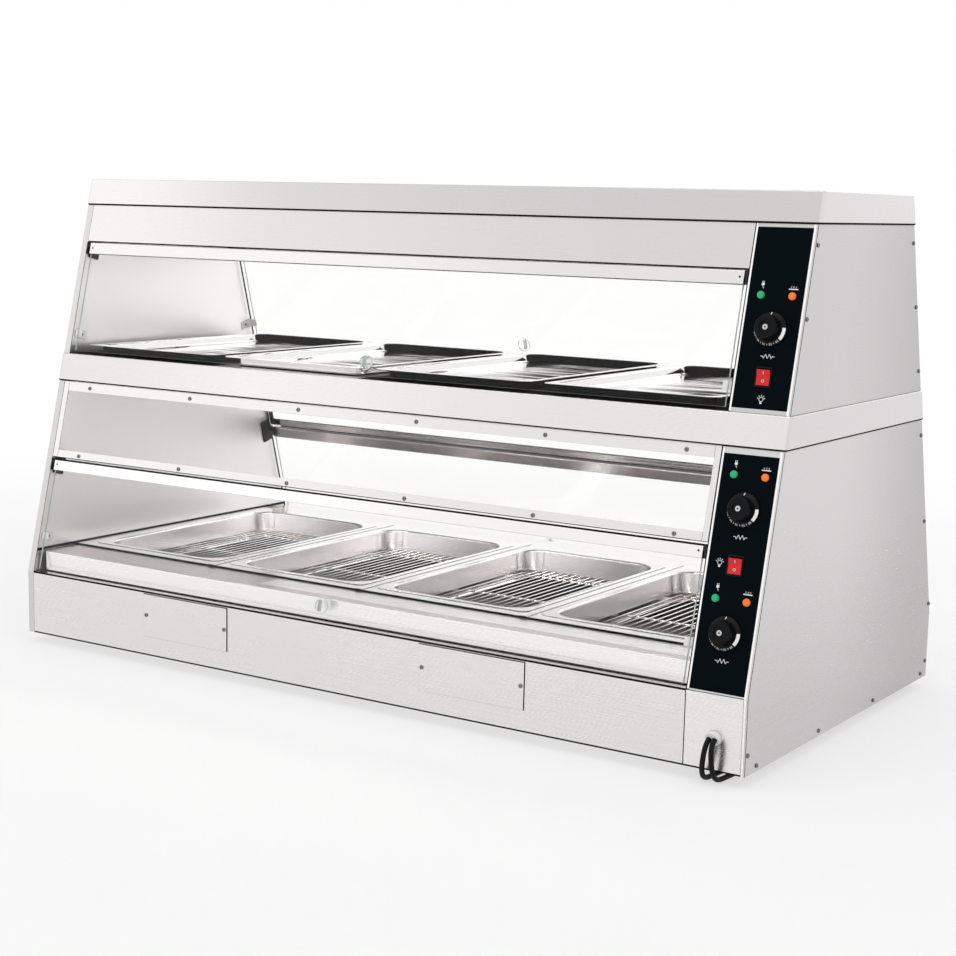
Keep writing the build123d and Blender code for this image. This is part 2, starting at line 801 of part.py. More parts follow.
def pilot_lamp():
    lens = Cylinder(lens_r, lens_height, align=upwards)
    lens = fillet(lens.edges().group_by(Axis.Z)[-1], lens_round)
    return lens + Pos(0, 0, -stem_length) * Cylinder(stem_r, stem_length, align=upwards)


def terminal_block():
    length, depth, height = terminal_size
    floor = foot_height + sheet
    shape = Pos(terminal_x, terminal_y, floor) * Box(length, depth, height, align=upwards)
    for i in (-1, 0, 1):
        place = Pos(terminal_x + i * terminal_pitch, terminal_y, floor + height - terminal_hole_depth)
        shape -= place * Cylinder(terminal_hole_r, terminal_hole_depth, align=upwards)
    return shape


def make_controls():
    panels = []
    for z0, z1 in (upper_panel, lower_panel):
        panels.append(slab("front", panel_left, panel_right - panel_gap, z0, z1, -panel_thickness, 0))
    nodes = {"thermostats": [], "rocker_housings": [], "pilot_lamps": [], "terminal_block": terminal_block()}
    round_hole = Cylinder(panel_hole_r, panel_hole_depth)
    hole_width = rocker_w + 2 * (housing_side + housing_play)
    hole_height = rocker_h + 2 * (housing_end + housing_play)
    rocker_hole = Box(hole_width, hole_height, panel_hole_depth)
    holes = []
    for i, z in enumerate((upper_dial_z, *lower_dial_z)):
        holes.append(on_panel(dial_x, z, round_hole))
        nodes["thermostats"].append(on_panel(dial_x, z, thermostat()))
        nodes[f"thermostat_dial_{i + 1}"] = on_panel(dial_x, z, dial())
    for i, z in enumerate((upper_rocker_z, lower_rocker_z)):
        holes.append(on_panel(rocker_x, z, rocker_hole))
        nodes["rocker_housings"].append(on_panel(rocker_x, z, rocker_housing()))
        nodes[f"light_rocker_{i + 1}"] = on_panel(rocker_x, z, rocker())
    for z in (upper_lamp_z, *lower_lamp_z):
        for x in (lamp_green_x, lamp_amber_x):
            holes.append(on_panel(x, z, round_hole))
            nodes["pilot_lamps"].append(on_panel(x, z, pilot_lamp()))
    nodes["control_panels"] = [panel.cut(*holes) for panel in panels]
    return nodes


def screw():
    # Pan head with a crossed recess; Z = 0 is under the head.
    head = Cylinder(head_r, head_height, align=upwards)
    head = fillet(head.edges().group_by(Axis.Z)[-1], head_round)
    cross = Pos(0, 0, head_height - cross_depth) * Box(cross_length, cross_width, cross_depth, align=upwards)
    return head - cross - Rot(0, 0, 90) * cross


def make_screws():
    head = screw()
    screws = []
    for side in ("front", "rear"):
        low = flaps[f"lower_{side}_flap"]["pivot_z"] + strip_clearance
        for z in (shelf_bottom - top_strip_screw, low + low_strip_screw):
            for i in range(strip_screws):
                x = strip_screw_first + strip_screw_pitch * i
                screws.append(slope_plane(side) * Pos(sign[side] * x, up_slope(side, z), 0) * head)
    front = Plane(origin=(0, front_y - sheet, 0), x_dir=(1, 0, 0), z_dir=(0, -1, 0))
    for left, right in cover_spans:
        for x in (left + cover_screw, right - cover_screw):
            screws.append(front * Pos(x, (cover_bottom + cover_top) / 2, 0) * head)
    spots = [(y, foot_height + side_bottom_screw) for y in side_bottom_ys]
    spots += [(face_y("front", z) + side_screw, z) for z in side_front_zs]
    spots += [(face_y("rear", z) - side_screw, z) for z in side_rear_zs]
    spots += [(rear_y - side_screw, z) for z in side_base_rear_zs]
    spots += [(front_y + side_screw, side_base_front_z)]
    for toward in (1, -1):
        plane = Plane(origin=(toward * half_width, 0, 0), x_dir=(0, toward, 0), z_dir=(toward, 0, 0))
        for y, z in spots:
            screws.append(plane * Pos(toward * y, z, 0) * head)
    return {"screws": screws}


def cord_tube(name, points):
    runs = [Vector(*b) - Vector(*a) for a, b in zip(points, points[1:])]
    radii = []
    for before, after in zip(runs, runs[1:]):
        half_turn = math.radians(before.get_angle(after)) / 2
        radii.append(cord_bend * min(before.length, after.length) / math.tan(half_turn))
    path = FilletPolyline(*points, radius=radii)
    start = Plane(origin=path @ 0, z_dir=path % 0)
    tube = sweep(start * Circle(cord_d / 2), path=path)
    expected = math.pi * cord_d ** 2 / 4 * path.length
    print(name, "length", round(path.length), "volume ratio", round(tube.volume / expected, 4))
    print(name, "radii", [round(r) for r in radii])
    return tube


def coil(centre):
    half = cord_d / 2 + coil_slack
    ring = Cylinder(coil_r + half, coil_height, align=upwards)
    ring -= Cylinder(coil_r - half, coil_height, align=upwards)
    return Pos(*centre, 0) * ring


def plug(tail):
    # Round mains plug lying on the table, its neck towards the cord.
    axis = Vector(*tail[-1]) - Vector(*tail[-2])
    axis = Vector(axis.X, axis.Y, 0).normalized()
    shape = extrude(Circle(plug_neck_r), amount=plug_neck, taper=-plug_neck_flare)
    body = Pos(0, 0, plug_neck) * Cylinder(plug_r, plug_length, align=upwards)
    shape += fillet(body.edges().filter_by(GeomType.CIRCLE), plug_round)
    for x in (-plug_pin_x, plug_pin_x):
        shape += Pos(x, 0, plug_neck + plug_length) * Cylinder(plug_pin_r, plug_pin, align=upwards)
    return Plane(origin=tail[-1], x_dir=(-axis.Y, axis.X, 0), z_dir=axis) * shape


def cord_outlet():
    # White gland that passes through its cover; its mouth leans downwards, square to the cords.
    barrel = Pos(outlet_x, front_y, outlet_z) * Rot(90, 0, 0) * Cylinder(gland_r, gland_length, align=upwards)
    mouth = Plane(origin=(outlet_x, gland_mouth_y, outlet_z), x_dir=(1, 0, 0), z_dir=(0, -1, 0))
    mouth = mouth.rotated((gland_tilt, 0, 0))
    barrel -= mouth * Box(4 * gland_r, 4 * gland_r, gland_length, align=upwards)
    rim = barrel.faces().sort_by(Axis(mouth.origin, mouth.z_dir))[-1].edges()
    barrel = fillet(rim, gland_edge)
    neck = Pos(outlet_x, front_y - neck_out, outlet_z) * Rot(-90, 0, 0)
    return barrel + neck * Cylinder(neck_r, neck_length, align=upwards)


def make_cords():
    return {
        "cord_grommet": cord_outlet(),
        "left_cord": [cord_tube("left_cord", left_route), cord_tube("left_tail", left_tail)],
        "right_cord": [cord_tube("right_cord", right_route), cord_tube("right_tail", right_tail)],
        "left_cord_coil": coil(left_coil),
        "right_cord_coil": coil(right_coil),
        "left_plug": plug(left_tail),
        "right_plug": plug(right_tail),
    }


def main():
    os.makedirs("parts", exist_ok=True)
    nodes = {}
    for make in (make_base, make_sides, make_upper, make_deck, make_glazing, make_controls, make_screws,
                 make_cords):
        nodes.update(make())
    for name, shape in nodes.items():
        solid = Compound(children=list(shape)) if isinstance(shape, list) else shape
        export_step(solid, f"parts/{name}.step")
    print(len(nodes), "nodes")


main()
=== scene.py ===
import json
import math

import bmesh
import bpy
from mathutils import Matrix, Vector


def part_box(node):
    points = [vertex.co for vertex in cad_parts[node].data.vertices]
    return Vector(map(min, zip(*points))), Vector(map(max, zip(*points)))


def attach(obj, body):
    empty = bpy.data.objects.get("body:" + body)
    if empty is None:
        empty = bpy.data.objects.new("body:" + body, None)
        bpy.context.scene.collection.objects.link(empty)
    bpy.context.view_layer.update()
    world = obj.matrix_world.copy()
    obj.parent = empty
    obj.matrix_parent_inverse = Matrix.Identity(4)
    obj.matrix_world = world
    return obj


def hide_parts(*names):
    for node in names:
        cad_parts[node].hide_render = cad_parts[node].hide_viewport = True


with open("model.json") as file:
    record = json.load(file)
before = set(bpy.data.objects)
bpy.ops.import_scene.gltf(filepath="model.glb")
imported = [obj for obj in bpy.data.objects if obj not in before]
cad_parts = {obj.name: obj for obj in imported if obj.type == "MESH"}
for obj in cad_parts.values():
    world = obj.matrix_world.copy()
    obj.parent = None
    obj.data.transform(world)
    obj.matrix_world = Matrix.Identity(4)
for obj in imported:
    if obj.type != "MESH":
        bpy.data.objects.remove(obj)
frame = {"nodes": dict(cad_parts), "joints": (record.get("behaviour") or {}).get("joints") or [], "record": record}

nodes = frame["nodes"]
joints = {joint["name"]: joint for joint in frame["joints"]}
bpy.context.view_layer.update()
mm = 0.001
dialNumbers = (1, 2, 3)
rockerNumbers = (1, 2)
rowNumbers = (1, 2, 3, 4)
pureWhite = (1, 1, 1, 1)
scene = bpy.context.scene
print("frame loaded:", len(nodes), "nodes")


class Wire:  # one socket of a node tree, usable in sums
    def __init__(self, tree, socket):
        self.tree = tree
        self.socket = socket

    def maths(self, operation, a, b=0.0):
        return addNode(self.tree, "ShaderNodeMath", {"operation": operation}, {0: a, 1: b})

    def __add__(self, other):
        return self.maths("ADD", self, other)

    __radd__ = __add__

    def __mul__(self, other):
        return self.maths("MULTIPLY", self, other)

    __rmul__ = __mul__

    def __sub__(self, other):
        return self.maths("SUBTRACT", self, other)

    def __rsub__(self, other):
        return self.maths("SUBTRACT", other, self)

    def __abs__(self):
        return self.maths("ABSOLUTE", self)

    def __gt__(self, other):
        return self.maths("GREATER_THAN", self, other)

    def __lt__(self, other):
        return self.maths("LESS_THAN", self, other)


def addNode(tree, kind, settings=None, inputs=None, output=0):
    node = tree.nodes.new(kind)
    for name, value in (settings or {}).items():
        setattr(node, name, value)
    for name, value in (inputs or {}).items():
        if isinstance(value, Wire):
            tree.links.new(value.socket, node.inputs[name])
        else:
            node.inputs[name].default_value = value
    return Wire(tree, node.outputs[output]) if node.outputs else node


def newFinish(name):
    finish = bpy.data.materials.new(name)
    finish.use_nodes = True
    finish.node_tree.nodes.clear()
    return finish, finish.node_tree


def closeFinish(tree, surface):
    addNode(tree, "ShaderNodeOutputMaterial", None, {"Surface": surface})


def spot(tree, output="Object"):
    return addNode(tree, "ShaderNodeTexCoord", None, None, output)


def along(tree, axis, output="Object"):  # one coordinate of the place, or of the normal
    return addNode(tree, "ShaderNodeSeparateXYZ", None, {0: spot(tree, output)}, axis)


def stretched(tree, scale):
    return addNode(tree, "ShaderNodeMapping", None, {"Vector": spot(tree), "Scale": scale})


def noise(tree, vector, scale, detail=2.0, roughness=0.5):
    return addNode(tree, "ShaderNodeTexNoise", None,
                   {"Vector": vector, "Scale": scale, "Detail": detail, "Roughness": roughness})


def mixColour(tree, factor, a, b):
    return addNode(tree, "ShaderNodeMix", {"data_type": "RGBA"}, {0: factor, 6: a, 7: b}, 2)


def fade(tree, value, low, high, toLow=0.0, toHigh=1.0):  # smooth step
    return addNode(tree, "ShaderNodeMapRange", {"interpolation_type": "SMOOTHSTEP"},
                   {0: value, 1: low, 2: high, 3: toLow, 4: toHigh})


def bump(tree, height, strength, distance, normal=None):
    inputs = {"Height": height, "Strength": strength, "Distance": distance}
    if normal:
        inputs["Normal"] = normal
    return addNode(tree, "ShaderNodeBump", None, inputs)


def softEdge(tree, radius):
    return addNode(tree, "ShaderNodeBevel", {"samples": 3}, {"Radius": radius})


def principled(tree, inputs):
    return addNode(tree, "ShaderNodeBsdfPrincipled", None, inputs)


def mixShader(tree, factor, a, b):
    return addNode(tree, "ShaderNodeMixShader", None, {0: factor, 1: a, 2: b})


def vectorMaths(tree, operation, a, b=None):
    inputs = {0: a} if b is None else {0: a, 1: b}
    output = 1 if operation in ("LENGTH", "DOT_PRODUCT") else 0
    return addNode(tree, "ShaderNodeVectorMath", {"operation": operation}, inputs, output)


def between(tree, span):  # mask of the places between two x values
    x = along(tree, 0)
    return (x > span[0]) * (x < span[1])


# camera, fitted to the photograph's 956 px frame
cameraSettings = {
    "location": (1.9180, -2.9038, 0.8775),
    "azimuth": 33.208,
    "pitch": 9.313,
    "roll": 1.333,
    "focalPixels": 1841.4,
    "centrePixels": (476.3, 506.8),
    "framePixels": 956,
    "sensorWidth": 36.0,
}


def makeCamera(s):
    azimuth, pitch, roll = (math.radians(s[key]) for key in ("azimuth", "pitch", "roll"))
    back = Vector((math.sin(azimuth) * math.cos(pitch), -math.cos(azimuth) * math.cos(pitch),
                   math.sin(pitch)))
    right = (-back).cross(Vector((0, 0, 1))).normalized()
    up = back.cross(right)
    turned = math.cos(roll) * right + math.sin(roll) * up
    upright = math.cos(roll) * up - math.sin(roll) * right
    data = bpy.data.cameras.new("camera")
    data.sensor_width = s["sensorWidth"]
    data.lens = s["focalPixels"] / s["framePixels"] * data.sensor_width
    half = s["framePixels"] / 2
    data.shift_x = (half - s["centrePixels"][0]) / s["framePixels"]
    data.shift_y = (s["centrePixels"][1] - half) / s["framePixels"]
    camera = bpy.data.objects.new("camera", data)
    turn = Matrix((turned, upright, back)).transposed().to_4x4()
    camera.matrix_world = Matrix.Translation(s["location"]) @ turn
    scene.collection.objects.link(camera)
    scene.camera = camera


makeCamera(cameraSettings)
scene.view_settings.view_transform = "Standard"
print("camera set")


# white studio: soft light from everywhere, three weak soft boxes, a white floor that keeps the shadow
studio = {
    "floorSize": 30.0,
    "floorColour": (0.86, 0.86, 0.86, 1),
    "floorGrain": 60,
    "floorRoughness": 0.65,
    "floorSpread": 0.1,
    "floorGlow": 0.6,
    "glowFrom": 1.2,
    "glowTo": 3.4,
    "worldLight": 0.85,
    "lamps": (  # name, place, target, size, power
        ("leftBox", (-3.2, -2.6, 1.5), (0.0, -0.2, 0.5), 2.4, 4.0),
        ("topBox", (0.4, -1.2, 3.2), (0.0, 0.0, 0.4), 2.0, 14.0),
        ("backBox", (0.6, 3.4, 2.0), (0.0, 0.0, 0.5), 2.4, 8.0),
    ),
}


def seenDirectly(tree):
    path = {name: addNode(tree, "ShaderNodeLightPath", None, None, name)
            for name in ("Is Camera Ray", "Is Glossy Ray", "Is Transmission Ray")}
    total = path["Is Camera Ray"] + path["Is Glossy Ray"] + path["Is Transmission Ray"]
    return total > 0


def makeStudio(s):
    world = bpy.data.worlds.new("studio")
    world.use_nodes = True
    tree = world.node_tree
    tree.nodes.clear()
    light, white = (addNode(tree, "ShaderNodeBackground", None, {"Color": pureWhite, "Strength": strength})
                    for strength in (s["worldLight"], 1.0))
    both = mixShader(tree, seenDirectly(tree), light, white)
    addNode(tree, "ShaderNodeOutputWorld", None, {"Surface": both})
    scene.world = world

    mesh = bpy.data.meshes.new("floor")
    h = s["floorSize"] / 2
    mesh.from_pydata([(-h, -h, 0), (h, -h, 0), (h, h, 0), (-h, h, 0)], [], [(0, 1, 2, 3)])
    floor = bpy.data.objects.new("floor", mesh)
    scene.collection.objects.link(floor)
    finish, tree = newFinish("floorPaint")
    grain = noise(tree, spot(tree), s["floorGrain"], detail=3)
    paint = principled(tree, {"Base Color": s["floorColour"],
                              "Roughness": s["floorRoughness"] + grain * s["floorSpread"]})
    glow = addNode(tree, "ShaderNodeEmission", None, {"Color": pureWhite, "Strength": 1.0})
    away = vectorMaths(tree, "LENGTH", spot(tree))
    share = seenDirectly(tree) * fade(tree, away, s["glowFrom"], s["glowTo"], s["floorGlow"], 1.0)
    closeFinish(tree, mixShader(tree, share, paint, glow))
    mesh.materials.append(finish)

    for name, place, target, size, power in s["lamps"]:
        data = bpy.data.lights.new(name, "AREA")
        data.shape = "SQUARE"
        data.size = size
        data.energy = power
        lamp = bpy.data.objects.new(name, data)
        lamp.location = place
        lamp.rotation_euler = (Vector(target) - Vector(place)).to_track_quat("-Z", "Y").to_euler()
        scene.collection.objects.link(lamp)


makeStudio(studio)
print("studio lit")


# mains cords: the routes are the control points of the splines, in metres
cordSettings = {
    "diameter": 8.5 * mm,
    "coilRadius": 47 * mm,
    "pointsPerTurn": 16,
    "layerRise": 8.65 * mm,
    "sheath": (0.0035, 0.0035, 0.004, 1),
    "scuffTone": 2.2,
    "scuffScale": 40,
    "grainScale": 900,
    "roughness": 0.42,
    "roughnessSpread": 0.2,
    "specular": 0.15,
    "bumps": 0.15,
    "bumpDepth": 0.0002,
    "splineOrder": 3,
    "splineSteps": 8,
    "roundSteps": 4,
    "left": {
        "route": [
            (0.7212, -0.4050, 0.0730), (0.7212, -0.412794, 0.0685), (0.7200, -0.4180, 0.0560),
            (0.7176, -0.4172, 0.0410), (0.7150, -0.4136, 0.0260), (0.7130, -0.4056, 0.0124),
            (0.7124, -0.3910, 0.0054), (0.7129, -0.3715, 0.0043), (0.7152, -0.3410, 0.00425),
            (0.7204, -0.2880, 0.00425), (0.7280, -0.2050, 0.00425), (0.7290, -0.0950, 0.00425),
            (0.7230, 0.0200, 0.00425), (0.7180, 0.1350, 0.00425), (0.7210, 0.2450, 0.00425),
            (0.7220, 0.3300, 0.00425), (0.7030, 0.3920, 0.00425), (0.6550, 0.4180, 0.00425),
            (0.5900, 0.4255, 0.00425), (0.5240, 0.4234, 0.00425),
        ],
        "coilCentre": (0.520, 0.470),
        "coilStart": -90,
        "coilTurns": -2.0,
        "tail": [(0.4970, 0.4226, 0.0210), (0.4700, 0.4236, 0.0185), (0.4460, 0.4240, 0.0185)],
        "tieAngle": 100,
    },
    "right": {
        "route": [
            (0.7308, -0.4050, 0.0730), (0.7308, -0.412794, 0.0685), (0.7316, -0.4180, 0.0560),
            (0.7320, -0.4170, 0.0410), (0.7324, -0.4132, 0.0260), (0.7328, -0.4052, 0.0124),
            (0.7332, -0.3910, 0.0054), (0.7340, -0.3715, 0.0043), (0.7360, -0.3410, 0.00425),
            (0.7402, -0.2880, 0.00425), (0.7460, -0.2050, 0.00425), (0.7470, -0.0950, 0.00425),
            (0.7410, 0.0200, 0.00425), (0.7360, 0.1350, 0.00425), (0.7380, 0.2450, 0.00425),
            (0.7400, 0.3350, 0.00425), (0.7330, 0.4050, 0.00425), (0.7195, 0.4520, 0.00425),
            (0.7146, 0.4880, 0.00425),
        ],
        "coilCentre": (0.668, 0.492),
        "coilStart": 0,
        "coilTurns": 2.25,
        "tail": [(0.6450, 0.5394, 0.0228), (0.6180, 0.5384, 0.0185), (0.5950, 0.5380, 0.0185)],
        "tieAngle": 235,
    },
}


def cordFinish(s):
    finish, tree = newFinish("cordSheath")
    grain = noise(tree, spot(tree), s["grainScale"], detail=3)
    scuff = noise(tree, spot(tree), s["scuffScale"])
    tone = mixColour(tree, scuff, s["sheath"], [s["scuffTone"] * v for v in s["sheath"][:3]] + [1])
    closeFinish(tree, principled(tree, {
        "Base Color": tone, "Roughness": s["roughness"] + grain * s["roughnessSpread"],
        "Specular IOR Level": s["specular"], "Normal": bump(tree, grain, s["bumps"], s["bumpDepth"])}))
    return finish


def makeCord(side, s, finish):
    own = s[side]
    points = list(own["route"])
    steps = abs(own["coilTurns"]) * s["pointsPerTurn"]
    turnStep = math.copysign(2 * math.pi / s["pointsPerTurn"], own["coilTurns"])
    radius = s["coilRadius"] / math.cos(math.pi / s["pointsPerTurn"])
    low = own["route"][-1][2]
    for i in range(1, int(steps) + 1):
        angle = math.radians(own["coilStart"]) + i * turnStep
        x = own["coilCentre"][0] + radius * math.cos(angle)
        y = own["coilCentre"][1] + radius * math.sin(angle)
        points.append((x, y, low + s["layerRise"] * i / s["pointsPerTurn"]))
    points += own["tail"]
    curve = bpy.data.curves.new(side + "Cord", "CURVE")
    curve.dimensions = "3D"
    spline = curve.splines.new("NURBS")
    spline.points.add(len(points) - 1)
    for point, co in zip(spline.points, points):
        point.co = (*co, 1)
    spline.order_u = s["splineOrder"]
    spline.use_endpoint_u = True
    spline.resolution_u = s["splineSteps"]
    curve.bevel_depth = s["diameter"] / 2
    curve.bevel_resolution = s["roundSteps"]
    curve.materials.append(finish)
    cord = bpy.data.objects.new(side + "Cord", curve)
    scene.collection.objects.link(cord)
    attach(cord, "case")
    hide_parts(side + "_cord", side + "_cord_coil")
    return cord


cordSheath = cordFinish(cordSettings)
leftCord = makeCord("left", cordSettings, cordSheath)
rightCord = makeCord("right", cordSettings, cordSheath)
print("cords laid")


# faces of the case, worked out from where the flaps hang
def slopeOf(side):
    low = joints[f"lower_{side}_flap_hinge"]["pos_m"]
    high = joints[f"upper_{side}_flap_hinge"]["pos_m"]
    return abs((high[1] - low[1]) / (high[2] - low[2]))


frontSlope = slopeOf("front")
rearSlope = slopeOf("rear")

# sheet steel: grey levels painted lighter and darker piece by piece for the light each piece catches, with painted
# shade in its seams and painted shade, shadows and reflections in the zones below
steelSettings = {
    "warmth": (1.006, 0.981, 0.980),
    "case": 0.70,
    "base": 0.79,
    "outlet": 0.84,
    "band": 0.79,
    "bandLeft": 0.70,
    "bandEnd": 0.70,
    "lid": 0.62,
    "lidLeft": 0.80,
    "lidEnd": 0.73,
    "fascia": 0.68,
    "fasciaLeft": 0.78,
    "strip": 0.79,
    "side": 0.67,
    "upperSide": 0.61,
    "innerSide": 0.985,
    "deck": 0.96,
    "ledge": 0.95,
    "rail": 0.90,
    "upperRail": 0.78,
    "tray": 0.88,
    "pan": 0.985,
    "wire": 0.80,
    "wireDark": 0.06,
    "screw": 0.24,
    "seamShade": 0.042,
    # painted shadow lines along gaps, edges and folds
    "edge": 0.03,
    "hollow": 0.96,
    "trayShadow": 0.017,
    "baseShadeLevel": 0.45,
    "innerStrip": 0.62,
    "innerRail": 0.60,
    "sideBack": 0.48,
    "ledgeShadeLevel": 0.64,
    "panRight": 0.88,
    "panWallShade": 0.40,
    "floorNear": 0.90,
    "floorFar": 0.011,
    "streak": 0.03,
    "matt": ("edge", "trayShadow", "floorFar", "streak"),
    "tintSpread": 0.03,
    "grainAlongX": (4, 500, 500),
    "grainAlongY": (500, 4, 500),
    "evenGrain": (220, 220, 220),
    "roughness": 0.27,
    "roughnessSpread": 0.06,
    "smearScale": 3.0,
    "brushInTint": 0.4,
    "smearInTint": 0.6,
    "brushInRoughness": 0.7,
    "smearInRoughness": 0.3,
    "bumps": 0.006,
    "bumpDepth": 0.0001,
    "tilted": 0.3,  # part of the normal along an axis from which a face counts as turned that way
    "facing": 0.5,
    "square": 0.85,
    "fold": 0.2,
    "endFacing": 0.9,
    "endArea": 2e-5,
    "seamSamples": 6,
    "seamReach": 0.008,
    "seamFrom": 0.38,
    "seamTo": 0.86,
    "edgeRadius": 0.0008,
    "skin": 0.0008,
    "line": 0.0028,
    "thinLine": 0.0012,
    "leftFade": (-0.72, -0.22),
    "backFade": (-0.12, 0.36),
    "footFade": (0.05, 0.35),
    "footShare": 0.3,
    "panFade": (-0.45, 0.55),
    "dullFade": (-0.11, 0.10),
    "dullShare": 0.8,
    "floorFade": (-0.14, 0.10),
    "wireFade": (-0.13, 0.02),
    "floorHeight": 0.008,
    "bandCorner": 0.009,
    "shadowSpan": (-0.764, 0.674),
    "shadowEdge": 0.005,
    "brightTray": (-0.392, -0.052),
    "frame": 0.95,
    "frameSpan": (0.7725, 0.7766),
    "flange": 0.0018,
    "ledgeLeft": -0.225,
    "ledgeFront": -0.350,
    "wallFoot": 0.0026,
    "wallBack": 0.0022,
    "rowPitch": 0.3515,
    "trayFloor": 0.006,
    "streakScale": (5, 45, 4),
    "streakStep": (0.38, 0.58),
    "streakFade": (-0.12, 0.06),
}


def grey(s, level, share=1.0):
    return (*(v * s[level] * share for v in s["warmth"]), 1)


def steelFinish(name, s, tint, grain="grainAlongX", roughness=None, zones=(), extra=None):
    finish, tree = newFinish(name)
    own = {"reach": s["seamReach"], "bumps": s["bumps"], "edgeRadius": s["edgeRadius"], **(extra or {})}
    roughness = roughness or s["roughness"]
    spread = s["roughnessSpread"]
    brush = noise(tree, stretched(tree, s[grain]), 1.0, detail=3, roughness=0.6)
    smear = noise(tree, spot(tree), s["smearScale"])
    colour = mixColour(tree, brush * s["brushInTint"] + smear * s["smearInTint"],
                       grey(s, tint, 1 - s["tintSpread"]), grey(s, tint, 1 + s["tintSpread"]))
    matt = 0
    for zone in zones:
        mask, shade = zone(tree, s)
        colour = mixColour(tree, mask, colour, grey(s, shade))
        if shade in s["matt"]:
            matt = matt + mask
    # painted shade: the base colour darkens where other faces are near, in seams, corners and gaps
    nearby = addNode(tree, "ShaderNodeAmbientOcclusion", {"samples": s["seamSamples"]},
                     {"Distance": own["reach"]}, 1)
    colour = mixColour(tree, fade(tree, nearby, s["seamFrom"], s["seamTo"]), grey(s, "seamShade"), colour)
    wear = brush * s["brushInRoughness"] + smear * s["smearInRoughness"]
    rough = roughness - spread / 2 + wear * spread
    closeFinish(tree, principled(tree, {
        "Base Color": colour, "Metallic": 1.0, "Roughness": rough + matt,
        "Normal": bump(tree, brush, own["bumps"], s["bumpDepth"], softEdge(tree, own["edgeRadius"]))}))
    return finish


def bottomLine(node):  # painted shadow line along the lower edge of a sheet
    corners = [v.co for v in nodes[node].data.vertices]
    front, rear = (min((co.z for co in corners if (co.y < 0) == inFront), default=0)
                   for inFront in (True, False))

    def zone(tree, s):
        bottom = front + (along(tree, 1) > 0) * (rear - front)
        return along(tree, 2) < bottom + s["line"], "edge"

    return zone


# painted shadow line along the top edge of a sheet
def topLine(node, width="thinLine"):
    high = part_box(node)[1].z
    return lambda tree, s: (along(tree, 2) > high - s[width], "edge")


def endLine(node, toRight):  # painted shadow line along the upright edges that face one way
    edges = {round(face.center.x, 4) for face in nodes[node].data.polygons
             if face.normal.x * toRight > steelSettings["endFacing"]
             and face.area > steelSettings["endArea"]}

    def zone(tree, s):
        x = along(tree, 0)
        mask = 0
        for edge in sorted(edges):
            mask = mask + (abs(x - edge) < s["thinLine"])
        return mask, "edge"

    return zone


def frontFold(tree, s):  # painted shadow line along the top front fold of the base
    low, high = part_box("base_front_panel")
    return (along(tree, 2) > high.z - s["line"]) * (along(tree, 1) < low.y + s["line"]), "edge"


# painted light and shade: a band, lid or fascia turns to another grey towards its left end, where the light falls
# differently
def leftShade(shade):
    return lambda tree, s: (1 - fade(tree, along(tree, 0), *s["leftFade"]), shade)


# painted shade: faces that turn to the ends of a band or lid are painted another grey
def endShade(shade):
    return lambda tree, s: (abs(along(tree, 0, "Normal")) > s["facing"], shade)


def frontGap(tree, low):  # how far a place lies behind the front face of a band
    return along(tree, 1) - (along(tree, 2) - low.z) * frontSlope - low.y


def rearGap(tree, low, high):
    return high.y - (along(tree, 2) - low.z) * rearSlope - along(tree, 1)


def hollowOf(node):  # painted light: inside of a folded band painted bright, so what reflects it comes out brighter
    low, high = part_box(node)

    def zone(tree, s):
        z = along(tree, 2)
        front, rear = frontGap(tree, low), rearGap(tree, low, high)
        side = high.x - abs(along(tree, 0))
        skin, corner = s["skin"], s["bandCorner"]
        inside = (front > skin) * (rear > skin) * (side > skin) * (z > low.z + skin) * (z < high.z - skin)
        return inside * (front + side > corner) * (rear + side > corner), "hollow"

    return zone


def brightFront(tree, s):  # the second tray's front is left out of the painted shadow and painted reflection
    return between(tree, s["brightTray"]) * (along(tree, 1) < 0)


def shadowUnderTrays(tree, s):  # painted shadow: the shelf top is painted black under the trays
    low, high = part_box("mid_shelf")
    on = (along(tree, 2) > high.z - s["skin"] / 2) * between(tree, s["shadowSpan"])
    on = on * (1 - brightFront(tree, s))
    return on * (frontGap(tree, low) > s["shadowEdge"]) * (rearGap(tree, low, high) > s["shadowEdge"]), "trayShadow"


def baseInside(tree, s):  # painted shade: floor and back of the base, as seen from inside
    low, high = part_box("base_tray")
    y, z = along(tree, 1), along(tree, 2)
    return (y < high.y - s["skin"]) * (z > low.z + s["skin"]) * (z < high.z - s["skin"]), "baseShadeLevel"


def innerRear(shade):  # painted shade on the inner faces at the back
    def zone(tree, s):
        return (along(tree, 1, "Normal") < -s["tilted"]) * (along(tree, 1) > 0), shade

    return zone


def sideShade(tree, s):  # painted shade: the end panels darken towards the back and the foot
    back = fade(tree, along(tree, 1), *s["backFade"])
    foot = 1 - fade(tree, along(tree, 2), *s["footFade"])
    return back + foot * (1 - back) * s["footShare"], "sideBack"


def sideFrame(tree, s):  # painted light: the front edge of the end panels beside the controls is painted bright
    return (along(tree, 1, "Normal") < -s["square"]) * between(tree, s["frameSpan"]), "frame"


def outerEnd(tree, s):  # painted shade: outside and front flange of the left end panels, darker than their inside, which is painted bright
    outside = (along(tree, 0, "Normal") < -s["facing"]) + (along(tree, 1, "Normal") < -s["facing"])
    return outside > 0, "side"


def sideFold(tree, s):  # painted shade along the front fold of an end panel
    facing = along(tree, 1, "Normal")
    return (facing < -s["fold"]) * (facing > -s["square"]), "edge"


def flangeLine(tree, s):  # painted shadow line along the flange of the control box wall
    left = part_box("control_box_walls")[0].x
    return (along(tree, 1, "Normal") < -s["facing"]) * (along(tree, 0) < left + s["flange"]), "edge"


